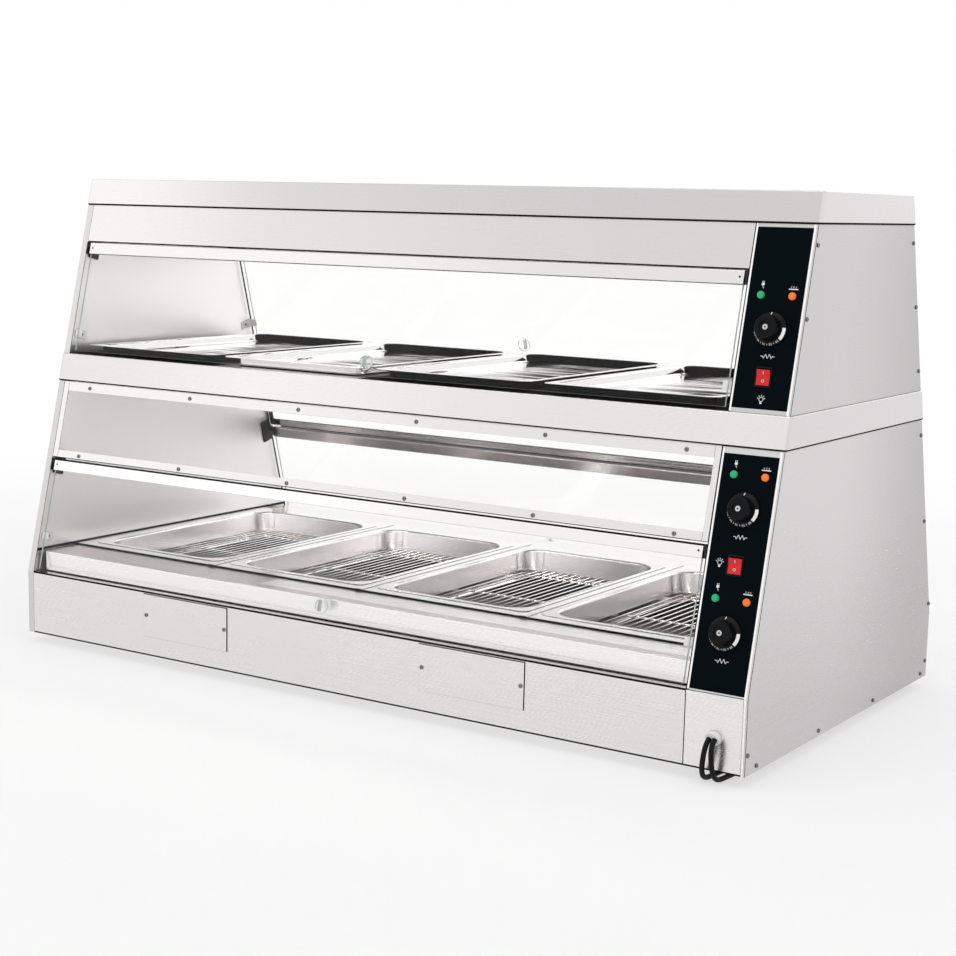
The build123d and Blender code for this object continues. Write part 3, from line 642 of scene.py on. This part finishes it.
def ledgeShade(tree, s):  # painted shade on the ledge's top at its front and its left
    y = along(tree, 1)
    dull = (along(tree, 0) < s["ledgeLeft"]) * (y < 0) + (y < s["ledgeFront"])
    return dull * (along(tree, 2, "Normal") > s["facing"]), "ledgeShadeLevel"


# painted shadow line at the foot of the ledge, above the base front panel
def ledgeFoot(tree, s):
    return along(tree, 2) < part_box("base_front_panel")[1].z + s["line"], "edge"


# painted shade on the skirt of the deck that faces the front
def deckEdge(tree, s):
    return along(tree, 1, "Normal") < -s["facing"], "edge"


def wallFoot(tree, s):  # painted shadow line where the end wall meets the deck
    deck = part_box("pan_deck")[1].z
    near = abs(along(tree, 2) - deck) < s["wallFoot"]
    return near * (along(tree, 0, "Normal") > s["facing"]), "edge"


def wallBack(tree, s):  # painted shadow line down the back edge of the end walls
    pin = joints["lower_rear_flap_hinge"]["pos_m"]
    edge = pin[1] - (along(tree, 2) - pin[2]) * rearSlope
    return (along(tree, 1) > edge - s["wallBack"]) * (along(tree, 0, "Normal") > s["facing"]), "edge"


# painted shade: the pans darken towards the right of the row
def panShade(tree, s):
    return fade(tree, along(tree, 0), *s["panFade"]), "panRight"


def fromMiddle(tree, s, first):  # across each pan or tray of the row, from its middle
    low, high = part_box(first)
    half = s["rowPitch"] / 2
    return addNode(tree, "ShaderNodeMath", {"operation": "WRAP"},
                   {0: along(tree, 0) - (low.x + high.x) / 2, 1: half, 2: -half})


def panWallShade(tree, s):  # painted shade: the back wall of each pan darkens towards the right
    back = along(tree, 1, "Normal") < -s["tilted"]
    return back * fade(tree, fromMiddle(tree, s, "pan_1"), *s["dullFade"]) * s["dullShare"], "panWallShade"


def wireShade(tree, s):  # painted shade: the front half of a rack is painted dark, as it shows against the bright floor
    return 1 - fade(tree, along(tree, 1), *s["wireFade"]), "wireDark"


# painted reflection: the floor of each pan painted grey, under the darker reflection painted towards its back
def panFloor(tree, s):
    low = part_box("pan_1")[0].z
    on = along(tree, 2) < low + s["floorHeight"]
    return on * (along(tree, 2, "Normal") > s["tilted"]), "floorNear"


def panFloorReflection(tree, s):  # painted dark reflection on the floor under the rack, darker towards the back
    return panFloor(tree, s)[0] * fade(tree, along(tree, 1), *s["floorFade"]), "floorFar"


def trayReflections(tree, s):  # painted dark reflections: streaks on the floor of each tray, and walls that face the front
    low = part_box("tray_1")[0]
    shift = fromMiddle(tree, s, "tray_1")
    streak = fade(tree, noise(tree, stretched(tree, s["streakScale"]), 1.0), *s["streakStep"])
    floor = (along(tree, 2, "Normal") > s["tilted"]) * (along(tree, 2) < low.z + s["trayFloor"])
    ends = (along(tree, 1, "Normal") < -s["tilted"]) * (1 - brightFront(tree, s))
    return floor * streak * fade(tree, shift, *s["streakFade"]) + ends, "streak"


plainSettings = {
    "grainScale": 700,
    "wearScale": 25,
    "roughnessSpread": 0.1,
    "bumpDepth": 0.0001,
    "edgeRadius": 0.0004,
}


def plainFinish(name, colour, roughness, extra=None, spread=0.12, bumps=0.08):
    s = plainSettings
    finish, tree = newFinish(name)
    grain = noise(tree, spot(tree), s["grainScale"], detail=3)
    wear = noise(tree, spot(tree), s["wearScale"], detail=3)
    dark = [v * (1 - spread) for v in colour] + [1]
    light = [v * (1 + spread) for v in colour] + [1]
    inputs = {"Base Color": mixColour(tree, wear, dark, light),
              "Roughness": roughness - s["roughnessSpread"] / 2 + grain * s["roughnessSpread"],
              "Normal": bump(tree, grain, bumps, s["bumpDepth"], softEdge(tree, s["edgeRadius"]))}
    inputs.update(extra or {})
    closeFinish(tree, principled(tree, inputs))
    return finish


glassSettings = {
    "clear": (1.0, 1.0, 0.995, 1),
    "edge": (0.60, 0.68, 0.66, 1),
    "shadow": (0.98, 0.985, 0.98, 1),
    "bending": 1.2,
    "paneRoughness": 0.01,
    "rimRoughness": 0.2,
    "rimSpread": 0.1,
    "rimFacing": 0.5,
    "streakScale": 6,
}


def glassFinish(name, s, slope, toFront):  # clear panes with greenish cut edges
    finish, tree = newFinish(name)
    lean = math.atan(slope)
    outwards = (0, -toFront * math.cos(lean), math.sin(lean))
    facing = vectorMaths(tree, "DOT_PRODUCT", spot(tree, "Normal"), outwards)
    streak = noise(tree, spot(tree), s["streakScale"])
    pane = principled(tree, {"Base Color": s["clear"], "Roughness": streak * s["paneRoughness"],
                             "IOR": s["bending"], "Transmission Weight": 1.0})
    rim = principled(tree, {"Base Color": s["edge"],
                            "Roughness": s["rimRoughness"] + streak * s["rimSpread"]})
    whole = mixShader(tree, abs(facing) < s["rimFacing"], pane, rim)
    clear = addNode(tree, "ShaderNodeBsdfTransparent", None, {"Color": s["shadow"]})
    shadow = addNode(tree, "ShaderNodeLightPath", None, None, "Is Shadow Ray")
    closeFinish(tree, mixShader(tree, shadow, whole, clear))
    return finish


tubeSettings = {
    "glass": (0.86, 0.86, 0.82, 1),
    "dark": (0, 0, 0, 1),
    "lit": (1.0, 0.97, 0.93, 1),
    "span": (-0.627, 0.547),
    "glow": 16.0,
    "roughness": 0.2,
    "roughnessSpread": 0.1,
    "frostScale": 300,
}


def tubeFinish(s):  # lit tubes between their holders
    finish, tree = newFinish("lampTube")
    glow = mixColour(tree, between(tree, s["span"]), s["dark"], s["lit"])
    frost = noise(tree, spot(tree), s["frostScale"])
    closeFinish(tree, principled(tree, {
        "Base Color": s["glass"], "Roughness": s["roughness"] + frost * s["roughnessSpread"],
        "Emission Color": glow, "Emission Strength": s["glow"]}))
    return finish


lensSettings = {
    "green": (0.012, 0.34, 0.13, 1),
    "amber": (0.80, 0.15, 0.015, 1),
    "between": 0.7275,
    "rippleScale": 900,
    "roughness": 0.18,
    "roughnessSpread": 0.1,
    "specular": 0.4,
    "glow": 0.3,
    "bumps": 0.4,
    "bumpDepth": 0.0004,
}


def lensFinish(s):  # green lamps on the left, amber on the right
    finish, tree = newFinish("pilotLens")
    colour = mixColour(tree, along(tree, 0) > s["between"], s["green"], s["amber"])
    ripple = addNode(tree, "ShaderNodeTexVoronoi", None, {"Vector": spot(tree), "Scale": s["rippleScale"]})
    closeFinish(tree, principled(tree, {
        "Base Color": colour, "Roughness": s["roughness"] + ripple * s["roughnessSpread"],
        "Normal": bump(tree, ripple, s["bumps"], s["bumpDepth"]), "Specular IOR Level": s["specular"],
        "Emission Color": colour, "Emission Strength": s["glow"]}))
    return finish


dialSettings = {
    "skirt": (0.0055, 0.0062, 0.0075),
    "grip": (0.0035, 0.0038, 0.0045),
    "cap": (0.62, 0.62, 0.61, 1),
    "capRadius": 4.4 * mm,
    "capHole": 1.5 * mm,
    "capFrom": 21.6 * mm,
    "skirtTo": 7.9 * mm,
    "grainScale": 1600,
    "roughness": 0.28,
    "roughnessSpread": 0.1,
    "specular": 0.12,
    "bumps": 0.1,
    "bumpDepth": 0.0001,
    "edgeRadius": 0.0004,
}


def dialFinish(number, s):
    finish, tree = newFinish(f"dialPlastic{number}")
    joint = joints[f"thermostat_dial_{number}_turn"]
    axis = Vector(joint["axis"])
    fromCentre = vectorMaths(tree, "SUBTRACT", spot(tree), joint["pos_m"])
    height = vectorMaths(tree, "DOT_PRODUCT", fromCentre, axis)
    radius = vectorMaths(tree, "LENGTH", vectorMaths(tree, "CROSS_PRODUCT", fromCentre, axis))
    grain = noise(tree, spot(tree), s["grainScale"])
    # the cap's centre keeps the dark grip colour: painted shade in the hub's recess
    cap = (radius < s["capRadius"]) * (radius > s["capHole"]) * (height > s["capFrom"])
    colour = mixColour(tree, height < s["skirtTo"], (*s["grip"], 1), (*s["skirt"], 1))
    colour = mixColour(tree, cap, colour, s["cap"])
    closeFinish(tree, principled(tree, {
        "Base Color": colour, "Roughness": s["roughness"] + grain * s["roughnessSpread"],
        "Specular IOR Level": s["specular"],
        "Normal": bump(tree, grain, s["bumps"], s["bumpDepth"], softEdge(tree, s["edgeRadius"]))}))
    return finish


plugSettings = {
    "body": (0.012, 0.012, 0.013, 1),
    "pin": (0.72, 0.66, 0.52, 1),
    "pinsFrom": 56.2 * mm,
    "grainScale": 900,
    "roughness": 0.5,
    "pinSmoother": 0.25,
    "roughnessSpread": 0.1,
    "bumps": 0.1,
    "bumpDepth": 0.0001,
}


def plugFinish(side, s):
    finish, tree = newFinish(side + "PlugRubber")
    end, before = (Vector(p) for p in reversed(cordSettings[side]["tail"][-2:]))
    axis = Vector((end.x - before.x, end.y - before.y, 0)).normalized()
    fromEnd = vectorMaths(tree, "SUBTRACT", spot(tree), end)
    pin = vectorMaths(tree, "DOT_PRODUCT", fromEnd, axis) > s["pinsFrom"]
    grain = noise(tree, spot(tree), s["grainScale"], detail=3)
    closeFinish(tree, principled(tree, {
        "Base Color": mixColour(tree, pin, s["body"], s["pin"]), "Metallic": pin,
        "Roughness": s["roughness"] - pin * s["pinSmoother"] + grain * s["roughnessSpread"],
        "Normal": bump(tree, grain, s["bumps"], s["bumpDepth"])}))
    return finish


steel = steelSettings
caseSteel = steelFinish("caseSteel", steel, "case")
deckSteel = steelFinish("deckSteel", steel, "deck", roughness=0.2, zones=(deckEdge,),
                        extra={"reach": 0.002})
railSteel = steelFinish("railSteel", steel, "rail", roughness=0.2)
backRailSteel = steelFinish("backRailSteel", steel, "rail", roughness=0.25, zones=(
    innerRear("innerRail"),))
pressed = {"bumps": 0.004, "edgeRadius": 0.0003, "reach": 0.003}
traySteel = steelFinish("traySteel", steel, "tray", "evenGrain", 0.08, (trayReflections,), pressed)
panSteel = steelFinish("panSteel", steel, "pan", "evenGrain", 0.18, (
    panShade, panWallShade, panFloor, panFloorReflection), pressed)
wireSteel = steelFinish("wireSteel", steel, "wire", "evenGrain", 0.15, (wireShade,), pressed)
screwSteel = steelFinish("screwSteel", steel, "screw", "evenGrain", 0.3)
clearFront = glassFinish("clearFront", glassSettings, frontSlope, 1)
clearRear = glassFinish("clearRear", glassSettings, rearSlope, -1)
whiteNylon = plainFinish("whiteNylon", (0.84, 0.84, 0.82), 0.4, spread=0.03)

finishBySlot = {
    "stainless": caseSteel,
    "polished_stainless": railSteel,
    "dark_steel": plainFinish("darkBracket", (0.022, 0.021, 0.02), 0.42, {"Metallic": 0.6}),
    "element": plainFinish("elementSheath", (0.06, 0.055, 0.05), 0.45, {"Metallic": 0.8}),
    "glass": clearFront,
    "lamp_glass": tubeFinish(tubeSettings),
    "rubber": plainFinish("footRubber", (0.015, 0.015, 0.015), 0.7),
    "white_nylon": whiteNylon,
    "black_panel": plainFinish("panelVinyl", (0.0016, 0.0042, 0.0062), 0.4,
                               {"Specular IOR Level": 0.02}, bumps=0.03),
    "black_plastic": plainFinish("blackPlastic", (0.004, 0.004, 0.0045), 0.38,
                                 {"Specular IOR Level": 0.15}),
    "red_plastic": plainFinish("redRocker", (0.68, 0.016, 0.02), 0.22,
                               {"Specular IOR Level": 0.3}, spread=0.04),
    "pilot_lens": lensFinish(lensSettings),
    "cord_black": cordSheath,
}
finishByNode = {
    "base_tray": steelFinish("traySheet", steel, "base", zones=(baseInside,)),
    "base_front_panel": steelFinish("frontSheet", steel, "base", zones=(
        bottomLine("base_front_panel"), frontFold)),
    "access_covers": steelFinish("coverSheet", steel, "base", zones=(
        topLine("access_covers"), endLine("access_covers", 1))),
    "cord_outlet_cover": steelFinish("outletSheet", steel, "outlet", zones=(
        topLine("cord_outlet_cover"), bottomLine("cord_outlet_cover"), endLine("cord_outlet_cover", -1)),
        extra={"reach": 0.002, "bumps": 0.001}),
    "mid_shelf": steelFinish("shelfSteel", steel, "band", zones=(
        leftShade("bandLeft"), endShade("bandEnd"), hollowOf("mid_shelf"), shadowUnderTrays,
        bottomLine("mid_shelf"))),
    "lid": steelFinish("lidSteel", steel, "lid", zones=(
        leftShade("lidLeft"), endShade("lidEnd"), hollowOf("lid"), bottomLine("lid"))),
    "upper_fascias": steelFinish("fasciaSteel", steel, "fascia", zones=(
        leftShade("fasciaLeft"), innerRear("innerStrip"), bottomLine("upper_fascias"))),
    "window_strips": steelFinish("stripSteel", steel, "strip", zones=(
        innerRear("innerStrip"), bottomLine("window_strips"))),
    "lower_left_side": steelFinish("lowerEndSteel", steel, "innerSide", "grainAlongY", 0.45, (
        outerEnd, wallFoot, wallBack, sideFold)),
    "upper_left_side": steelFinish("upperEndSteel", steel, "innerSide", "grainAlongY", 0.36, (
        outerEnd, wallBack, sideFold)),
    "lower_right_side": steelFinish("lowerSideSteel", steel, "side", "grainAlongY", zones=(
        sideShade, sideFrame, sideFold)),
    "upper_right_side": steelFinish("upperSideSteel", steel, "upperSide", "grainAlongY", zones=(
        sideShade, sideFrame, sideFold)),
    "control_box_walls": steelFinish("wallSteel", steel, "innerSide", "grainAlongY", 0.34, (flangeLine,)),
    "pan_deck": deckSteel,
    "divider_bars": deckSteel,
    "deck_ledges": steelFinish("ledgeSteel", steel, "ledge", zones=(ledgeShade, ledgeFoot),
                               extra={"reach": 0.003}),
    "lower_front_flap_rail": steelFinish("lowerRailSteel", steel, "rail", roughness=0.2, zones=(
        topLine("lower_front_flap_rail", "line"),)),
    "upper_front_flap_rail": steelFinish("upperRailSteel", steel, "upperRail", roughness=0.2),
    "lower_rear_flap_rail": backRailSteel,
    "upper_rear_flap_rail": backRailSteel,
    "lower_rear_flap_glass": clearRear,
    "upper_rear_flap_glass": clearRear,
    "screws": screwSteel,
    "left_plug": plugFinish("left", plugSettings),
    "right_plug": plugFinish("right", plugSettings),
}
for i in rowNumbers:
    finishByNode[f"tray_{i}"] = traySteel
    finishByNode[f"pan_{i}"] = panSteel
    finishByNode[f"rack_{i}"] = wireSteel
for i in dialNumbers:
    finishByNode[f"thermostat_dial_{i}"] = dialFinish(i, dialSettings)
for entry in frame["record"]["subparts"]:
    mesh = nodes[entry["node"]].data
    mesh.materials.clear()
    mesh.materials.append(finishByNode.get(entry["node"], finishBySlot[entry["material_slot"]]))
print("finishes set")


# small pieces: printed marks, set screws and ties
markSettings = {
    "strokeOverlap": 0.4,
    "rayFrom": 0.05,
    "bulbSides": 16,
    "ringSides": 14,
    "setScrewSides": 12,
    "stopScrewSides": 14,
}


def placeOn(origin, up, out):
    return Matrix.Translation(origin) @ Matrix((up.cross(out), up, out)).transposed().to_4x4()


def faceAxes(side):
    lean = math.atan(frontSlope if side == "front" else rearSlope)
    toFront = 1 if side == "front" else -1
    up = Vector((0, toFront * math.sin(lean), math.cos(lean)))
    return up, Vector((0, -toFront * math.cos(lean), math.sin(lean)))


def plate(mesh, outline, thickness):
    low = [mesh.verts.new((x, y, 0)) for x, y in outline]
    high = [mesh.verts.new((x, y, thickness)) for x, y in outline]
    mesh.faces.new(list(reversed(low)))
    mesh.faces.new(high)
    for i in range(len(outline)):
        j = (i + 1) % len(outline)
        mesh.faces.new((low[i], low[j], high[j], high[i]))


def stroke(mesh, points, width, thickness):
    for start, end in zip(points, points[1:]):
        a, b = Vector(start), Vector(end)
        run = (b - a).normalized() * width / 2
        across = Vector((-run.y, run.x))
        extra = run * markSettings["strokeOverlap"]
        a, b = a - extra, b + extra
        plate(mesh, [a - across, b - across, b + across, a + across], thickness)


def circle(centre, radius, count):
    turns = [2 * math.pi * i / count for i in range(count)]
    return [(centre[0] + radius * math.cos(t), centre[1] + radius * math.sin(t)) for t in turns]


def inMillimetres(place):
    return place @ Matrix.Scale(mm, 4)


def drawn(draw, *values):  # a flat mark as a mesh in its own plane
    shape = bmesh.new()
    draw(shape, *values)
    mesh = bpy.data.meshes.new("mark")
    shape.to_mesh(mesh)
    shape.free()
    return mesh


def gather(name, stamps, finish, body):
    whole = bmesh.new()
    for mesh, place in stamps:
        mesh.transform(place)
        whole.from_mesh(mesh)
        bpy.data.meshes.remove(mesh)
    data = bpy.data.meshes.new(name)
    whole.to_mesh(data)
    whole.free()
    data.materials.clear()
    data.materials.append(finish)
    piece = bpy.data.objects.new(name, data)
    scene.collection.objects.link(piece)
    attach(piece, body)
    return piece


frontUp, frontOut = faceAxes("front")
bpy.context.view_layer.update()

# white symbols printed on the panels, in millimetres from the dial or rocker beside them
symbolSettings = {
    "ink": 0.12,
    "line": 1.0,
    "plug": (-24, 68.5),
    "heat": (28, 64.5),
    "zigzag": (1, -41),
    "bulbs": {1: (1, -35.3), 2: (-27, 0.5)},
    "rockerDepth": 4,
}


def plugSymbol(shape, s):
    plate(shape, [(-2.4, -1.6), (2.4, -1.6), (2.4, 2.2), (-2.4, 2.2)], s["ink"])
    for x in (-1.3, 1.3):
        stroke(shape, [(x, 2.2), (x, 5.2)], s["line"], s["ink"])
    stroke(shape, [(0, -1.6), (0, -3.6), (1.2, -4.6), (1.2, -6.2)], s["line"], s["ink"])


def heatSymbol(shape, s):
    stroke(shape, [(-7.5, -1.8), (7.5, -1.8)], 1.6, s["ink"])
    for x in (-4, 0, 4):
        stroke(shape, [(x - 0.6, 0), (x + 0.5, 0.9), (x - 0.5, 1.8), (x + 0.6, 2.7)], 0.7, s["ink"])


def zigzagSymbol(shape, s):
    teeth = [(-6.6 + 3.3 * i, 3.4 if i % 2 else -3.4) for i in range(5)]
    stroke(shape, [(-11.5, 0), (-8, 0)] + teeth + [(8, 0), (11.5, 0)], s["line"], s["ink"])


def bulbSymbol(shape, s):
    ring = circle((0, 1.6), 3.5, markSettings["bulbSides"])
    stroke(shape, ring + ring[:1], s["line"], s["ink"])
    plate(shape, [(-1.7, -5.4), (1.7, -5.4), (1.7, -1.9), (-1.7, -1.9)], s["ink"])
    for turn in range(18, 180, 36):
        ray = Vector((math.cos(math.radians(turn)), math.sin(math.radians(turn))))
        stroke(shape, [ray * 5.0 + Vector((0, 1.6)), ray * 7.0 + Vector((0, 1.6))], s["line"], s["ink"])


def besideDial(start, offset):
    across, rise = (v * mm for v in offset)
    return inMillimetres(placeOn(start + Vector((across, rise * frontSlope, rise)), frontUp, frontOut))


def makeSymbols(s):
    stamps = []
    for i in dialNumbers:
        start = Vector(joints[f"thermostat_dial_{i}_turn"]["pos_m"])
        for draw, key in ((plugSymbol, "plug"), (heatSymbol, "heat"), (zigzagSymbol, "zigzag")):
            stamps.append((drawn(draw, s), besideDial(start, s[key])))
    for i, offset in s["bulbs"].items():
        start = Vector(joints[f"light_rocker_{i}_tilt"]["pos_m"]) + frontOut * s["rockerDepth"] * mm
        stamps.append((drawn(bulbSymbol, s), besideDial(start, offset)))
    gather("panelSymbols", stamps, whiteInk, "case")


whiteInk = plainFinish("whiteInk", (0.86, 0.86, 0.85), 0.5, spread=0.03)
makeSymbols(symbolSettings)

# scale on the sloping skirt of each dial, in millimetres and degrees clockwise from the top
scaleSettings = {
    "rim": (27.0, 3.7),
    "top": (21.88, 7.7),
    "ink": 0.12,
    "numbers": {"30": 140, "50": 167, "70": 194, "90": 221, "110": 248},
    "numberRadius": 24.4,
    "numberSize": 5.2,
    "tickTurns": (153.5, 180.5, 207.5, 234.5),
    "tick": (23.4, 25.4, 0.8),
    "offMark": (22.4, 26.5, 1.6),
    "highlightSpan": (84, 130, 22.3, 26.6),
    "silverStep": 2,
    "silverOverlap": 1.04,
}


def skirtPlace(joint, s, turn, radius):
    out = Vector(joint["axis"])
    turn = math.radians(turn)
    away = math.sin(turn) * Vector((1, 0, 0)) + math.cos(turn) * frontUp
    fall = Vector((s["rim"][0] - s["top"][0], s["top"][1] - s["rim"][1])).normalized()
    height = s["rim"][1] + (s["rim"][0] - radius) * fall.y / fall.x
    origin = Vector(joint["pos_m"]) + (away * radius + out * height) * mm
    return inMillimetres(placeOn(origin, away * fall.x - out * fall.y, away * fall.y + out * fall.x))


def numeral(text, s):
    data = bpy.data.curves.new("numeral", "FONT")
    data.body = text
    data.size = s["numberSize"]
    data.align_x = "CENTER"
    data.align_y = "CENTER"
    data.extrude = s["ink"]
    holder = bpy.data.objects.new("numeral", data)
    mesh = bpy.data.meshes.new_from_object(holder)
    bpy.data.objects.remove(holder)
    return mesh


def highlightArc(shape, width, length, s):
    plate(shape, [(-width / 2, -length / 2), (width / 2, -length / 2), (width / 2, length / 2),
                  (-width / 2, length / 2)], s["ink"])


def makeScale(number, s):
    joint = joints[f"thermostat_dial_{number}_turn"]
    body = f"thermostat_dial_{number}"
    stamps = [(numeral(text, s), skirtPlace(joint, s, turn, s["numberRadius"]))
              for text, turn in s["numbers"].items()]
    ticks = [(turn, *s["tick"]) for turn in s["tickTurns"]] + [(0, *s["offMark"])]
    for turn, inner, outer, width in ticks:
        half = (outer - inner) / 2
        bar = drawn(stroke, [(0, -half), (0, half)], width, s["ink"])
        stamps.append((bar, skirtPlace(joint, s, turn, (inner + outer) / 2)))
    gather(f"dialScale{number}", stamps, whiteInk, body)
    # the silver arc on the right of the skirt is a painted highlight, made of polished steel pieces
    start, end, inner, outer = s["highlightSpan"]
    middle = (inner + outer) / 2
    slope = math.hypot(*(a - b for a, b in zip(s["rim"], s["top"])))
    slant = (outer - inner) * slope / (s["rim"][0] - s["top"][0])
    width = math.radians(s["silverStep"]) * middle * s["silverOverlap"]
    stamps = [(drawn(highlightArc, width, slant, s), skirtPlace(joint, s, turn, middle))
              for turn in range(start, end, s["silverStep"])]
    gather(f"dialHighlight{number}", stamps, highlightSteel, body)


# polished steel for the painted highlight on each dial's skirt
highlightSteel = steelFinish("dialHighlight", steel, "rail", "evenGrain", 0.3)
for i in dialNumbers:
    makeScale(i, scaleSettings)

# I and O on the rockers
rockerSettings = {"apart": 6.2, "ink": 0.1, "line": 0.9, "size": 2.0}


def makeRockerMarks(number, s):
    joint = joints[f"light_rocker_{number}_tilt"]
    stamps = []
    rayFrom = frontOut * markSettings["rayFrom"]
    ring = circle((0, 0), s["size"], markSettings["ringSides"])
    for side, path in ((1, [(0, -s["size"]), (0, s["size"])]), (-1, ring + ring[:1])):
        above = Vector(joint["pos_m"]) + frontUp * side * s["apart"] * mm + rayFrom
        place, out = nodes[f"light_rocker_{number}"].ray_cast(above, -frontOut)[1:3]
        up = (frontUp - out * frontUp.dot(out)).normalized()
        mark = drawn(stroke, path, s["line"], s["ink"])
        stamps.append((mark, inMillimetres(placeOn(place, up, out))))
    gather(f"rockerMarks{number}", stamps, whiteInk, f"light_rocker_{number}")


for i in rockerNumbers:
    makeRockerMarks(i, rockerSettings)

# set screws in the ends of the flap rails, and the screws of the flap stops
screwSettings = {
    "setScrew": 1.9,
    "fromEnd": 7,
    "belowPin": 4.4,
    "stopScrew": 2.6,
    "head": 0.5,
    "stopDepth": 21.6,
    "stopHeights": (214, 609),
}


def makeSetScrews(flap, s):
    up, out = faceAxes("front" if "front" in flap else "rear")
    rail = nodes[flap + "_rail"]
    low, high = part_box(flap + "_rail")
    rayFrom = out * markSettings["rayFrom"]
    stamps = []
    for x in (low.x + s["fromEnd"] * mm, high.x - s["fromEnd"] * mm):
        above = Vector(joints[flap + "_hinge"]["pos_m"]) - up * s["belowPin"] * mm + rayFrom
        above.x = x
        place = rail.ray_cast(above, -out)[1]
        outline = circle((0, 0), s["setScrew"], markSettings["setScrewSides"])
        head = drawn(plate, outline, s["head"] / 2)
        stamps.append((head, inMillimetres(placeOn(place, up, out))))
    gather(flap + "SetScrews", stamps, finishBySlot["dark_steel"], flap)


def makeStopScrews(s):
    stamps = []
    for side in ("front", "rear"):
        up, out = faceAxes(side)
        pin = Vector(joints[f"lower_{side}_flap_hinge"]["pos_m"])
        for height in s["stopHeights"]:
            rise = height * mm - pin.z
            centre = pin + up * rise / up.z - out * s["stopDepth"] * mm
            for toWall in (-1, 1):
                found, place, normal = nodes["flap_stops"].ray_cast(centre, Vector((toWall, 0, 0)))[:3]
                if found:
                    outline = circle((0, 0), s["stopScrew"], markSettings["stopScrewSides"])
                    spotOn = placeOn(place, Vector((0, 0, 1)), normal)
                    stamps.append((drawn(plate, outline, s["head"]), inMillimetres(spotOn)))
    print("stop screws:", len(stamps))
    gather("stopScrews", stamps, screwSteel, "case")


for flap in ("lower_front_flap", "lower_rear_flap", "upper_front_flap", "upper_rear_flap"):
    makeSetScrews(flap, screwSettings)
makeStopScrews(screwSettings)

# ties round the coiled cords
tieSettings = {
    "thickness": 0.8 * mm,
    "halfWidth": 5.6 * mm,
    "bottom": 0.9 * mm,
    "top": 28.2 * mm,
    "splineOrder": 3,
}


def makeTie(side, s):
    own = cordSettings[side]
    turn = math.radians(own["tieAngle"])
    away = Vector((math.cos(turn), math.sin(turn), 0))
    centre = Vector((*own["coilCentre"], 0)) + away * cordSettings["coilRadius"]
    low, middle, high = s["bottom"], s["top"] / 2, s["top"]
    corners = [(-1, low), (0, low), (1, low), (1, middle), (1, high), (0, high), (-1, high), (-1, middle)]
    curve = bpy.data.curves.new(side + "Tie", "CURVE")
    curve.dimensions = "3D"
    spline = curve.splines.new("NURBS")
    spline.points.add(len(corners) - 1)
    for point, (reach, height) in zip(spline.points, corners):
        point.co = (*(centre + away * reach * s["halfWidth"] + Vector((0, 0, height))), 1)
    spline.order_u = s["splineOrder"]
    spline.use_cyclic_u = True
    curve.bevel_depth = s["thickness"]
    curve.materials.append(finishBySlot["black_plastic"])
    tie = bpy.data.objects.new(side + "Tie", curve)
    scene.collection.objects.link(tie)
    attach(tie, "case")


for side in ("left", "right"):
    makeTie(side, tieSettings)
print("small pieces made")
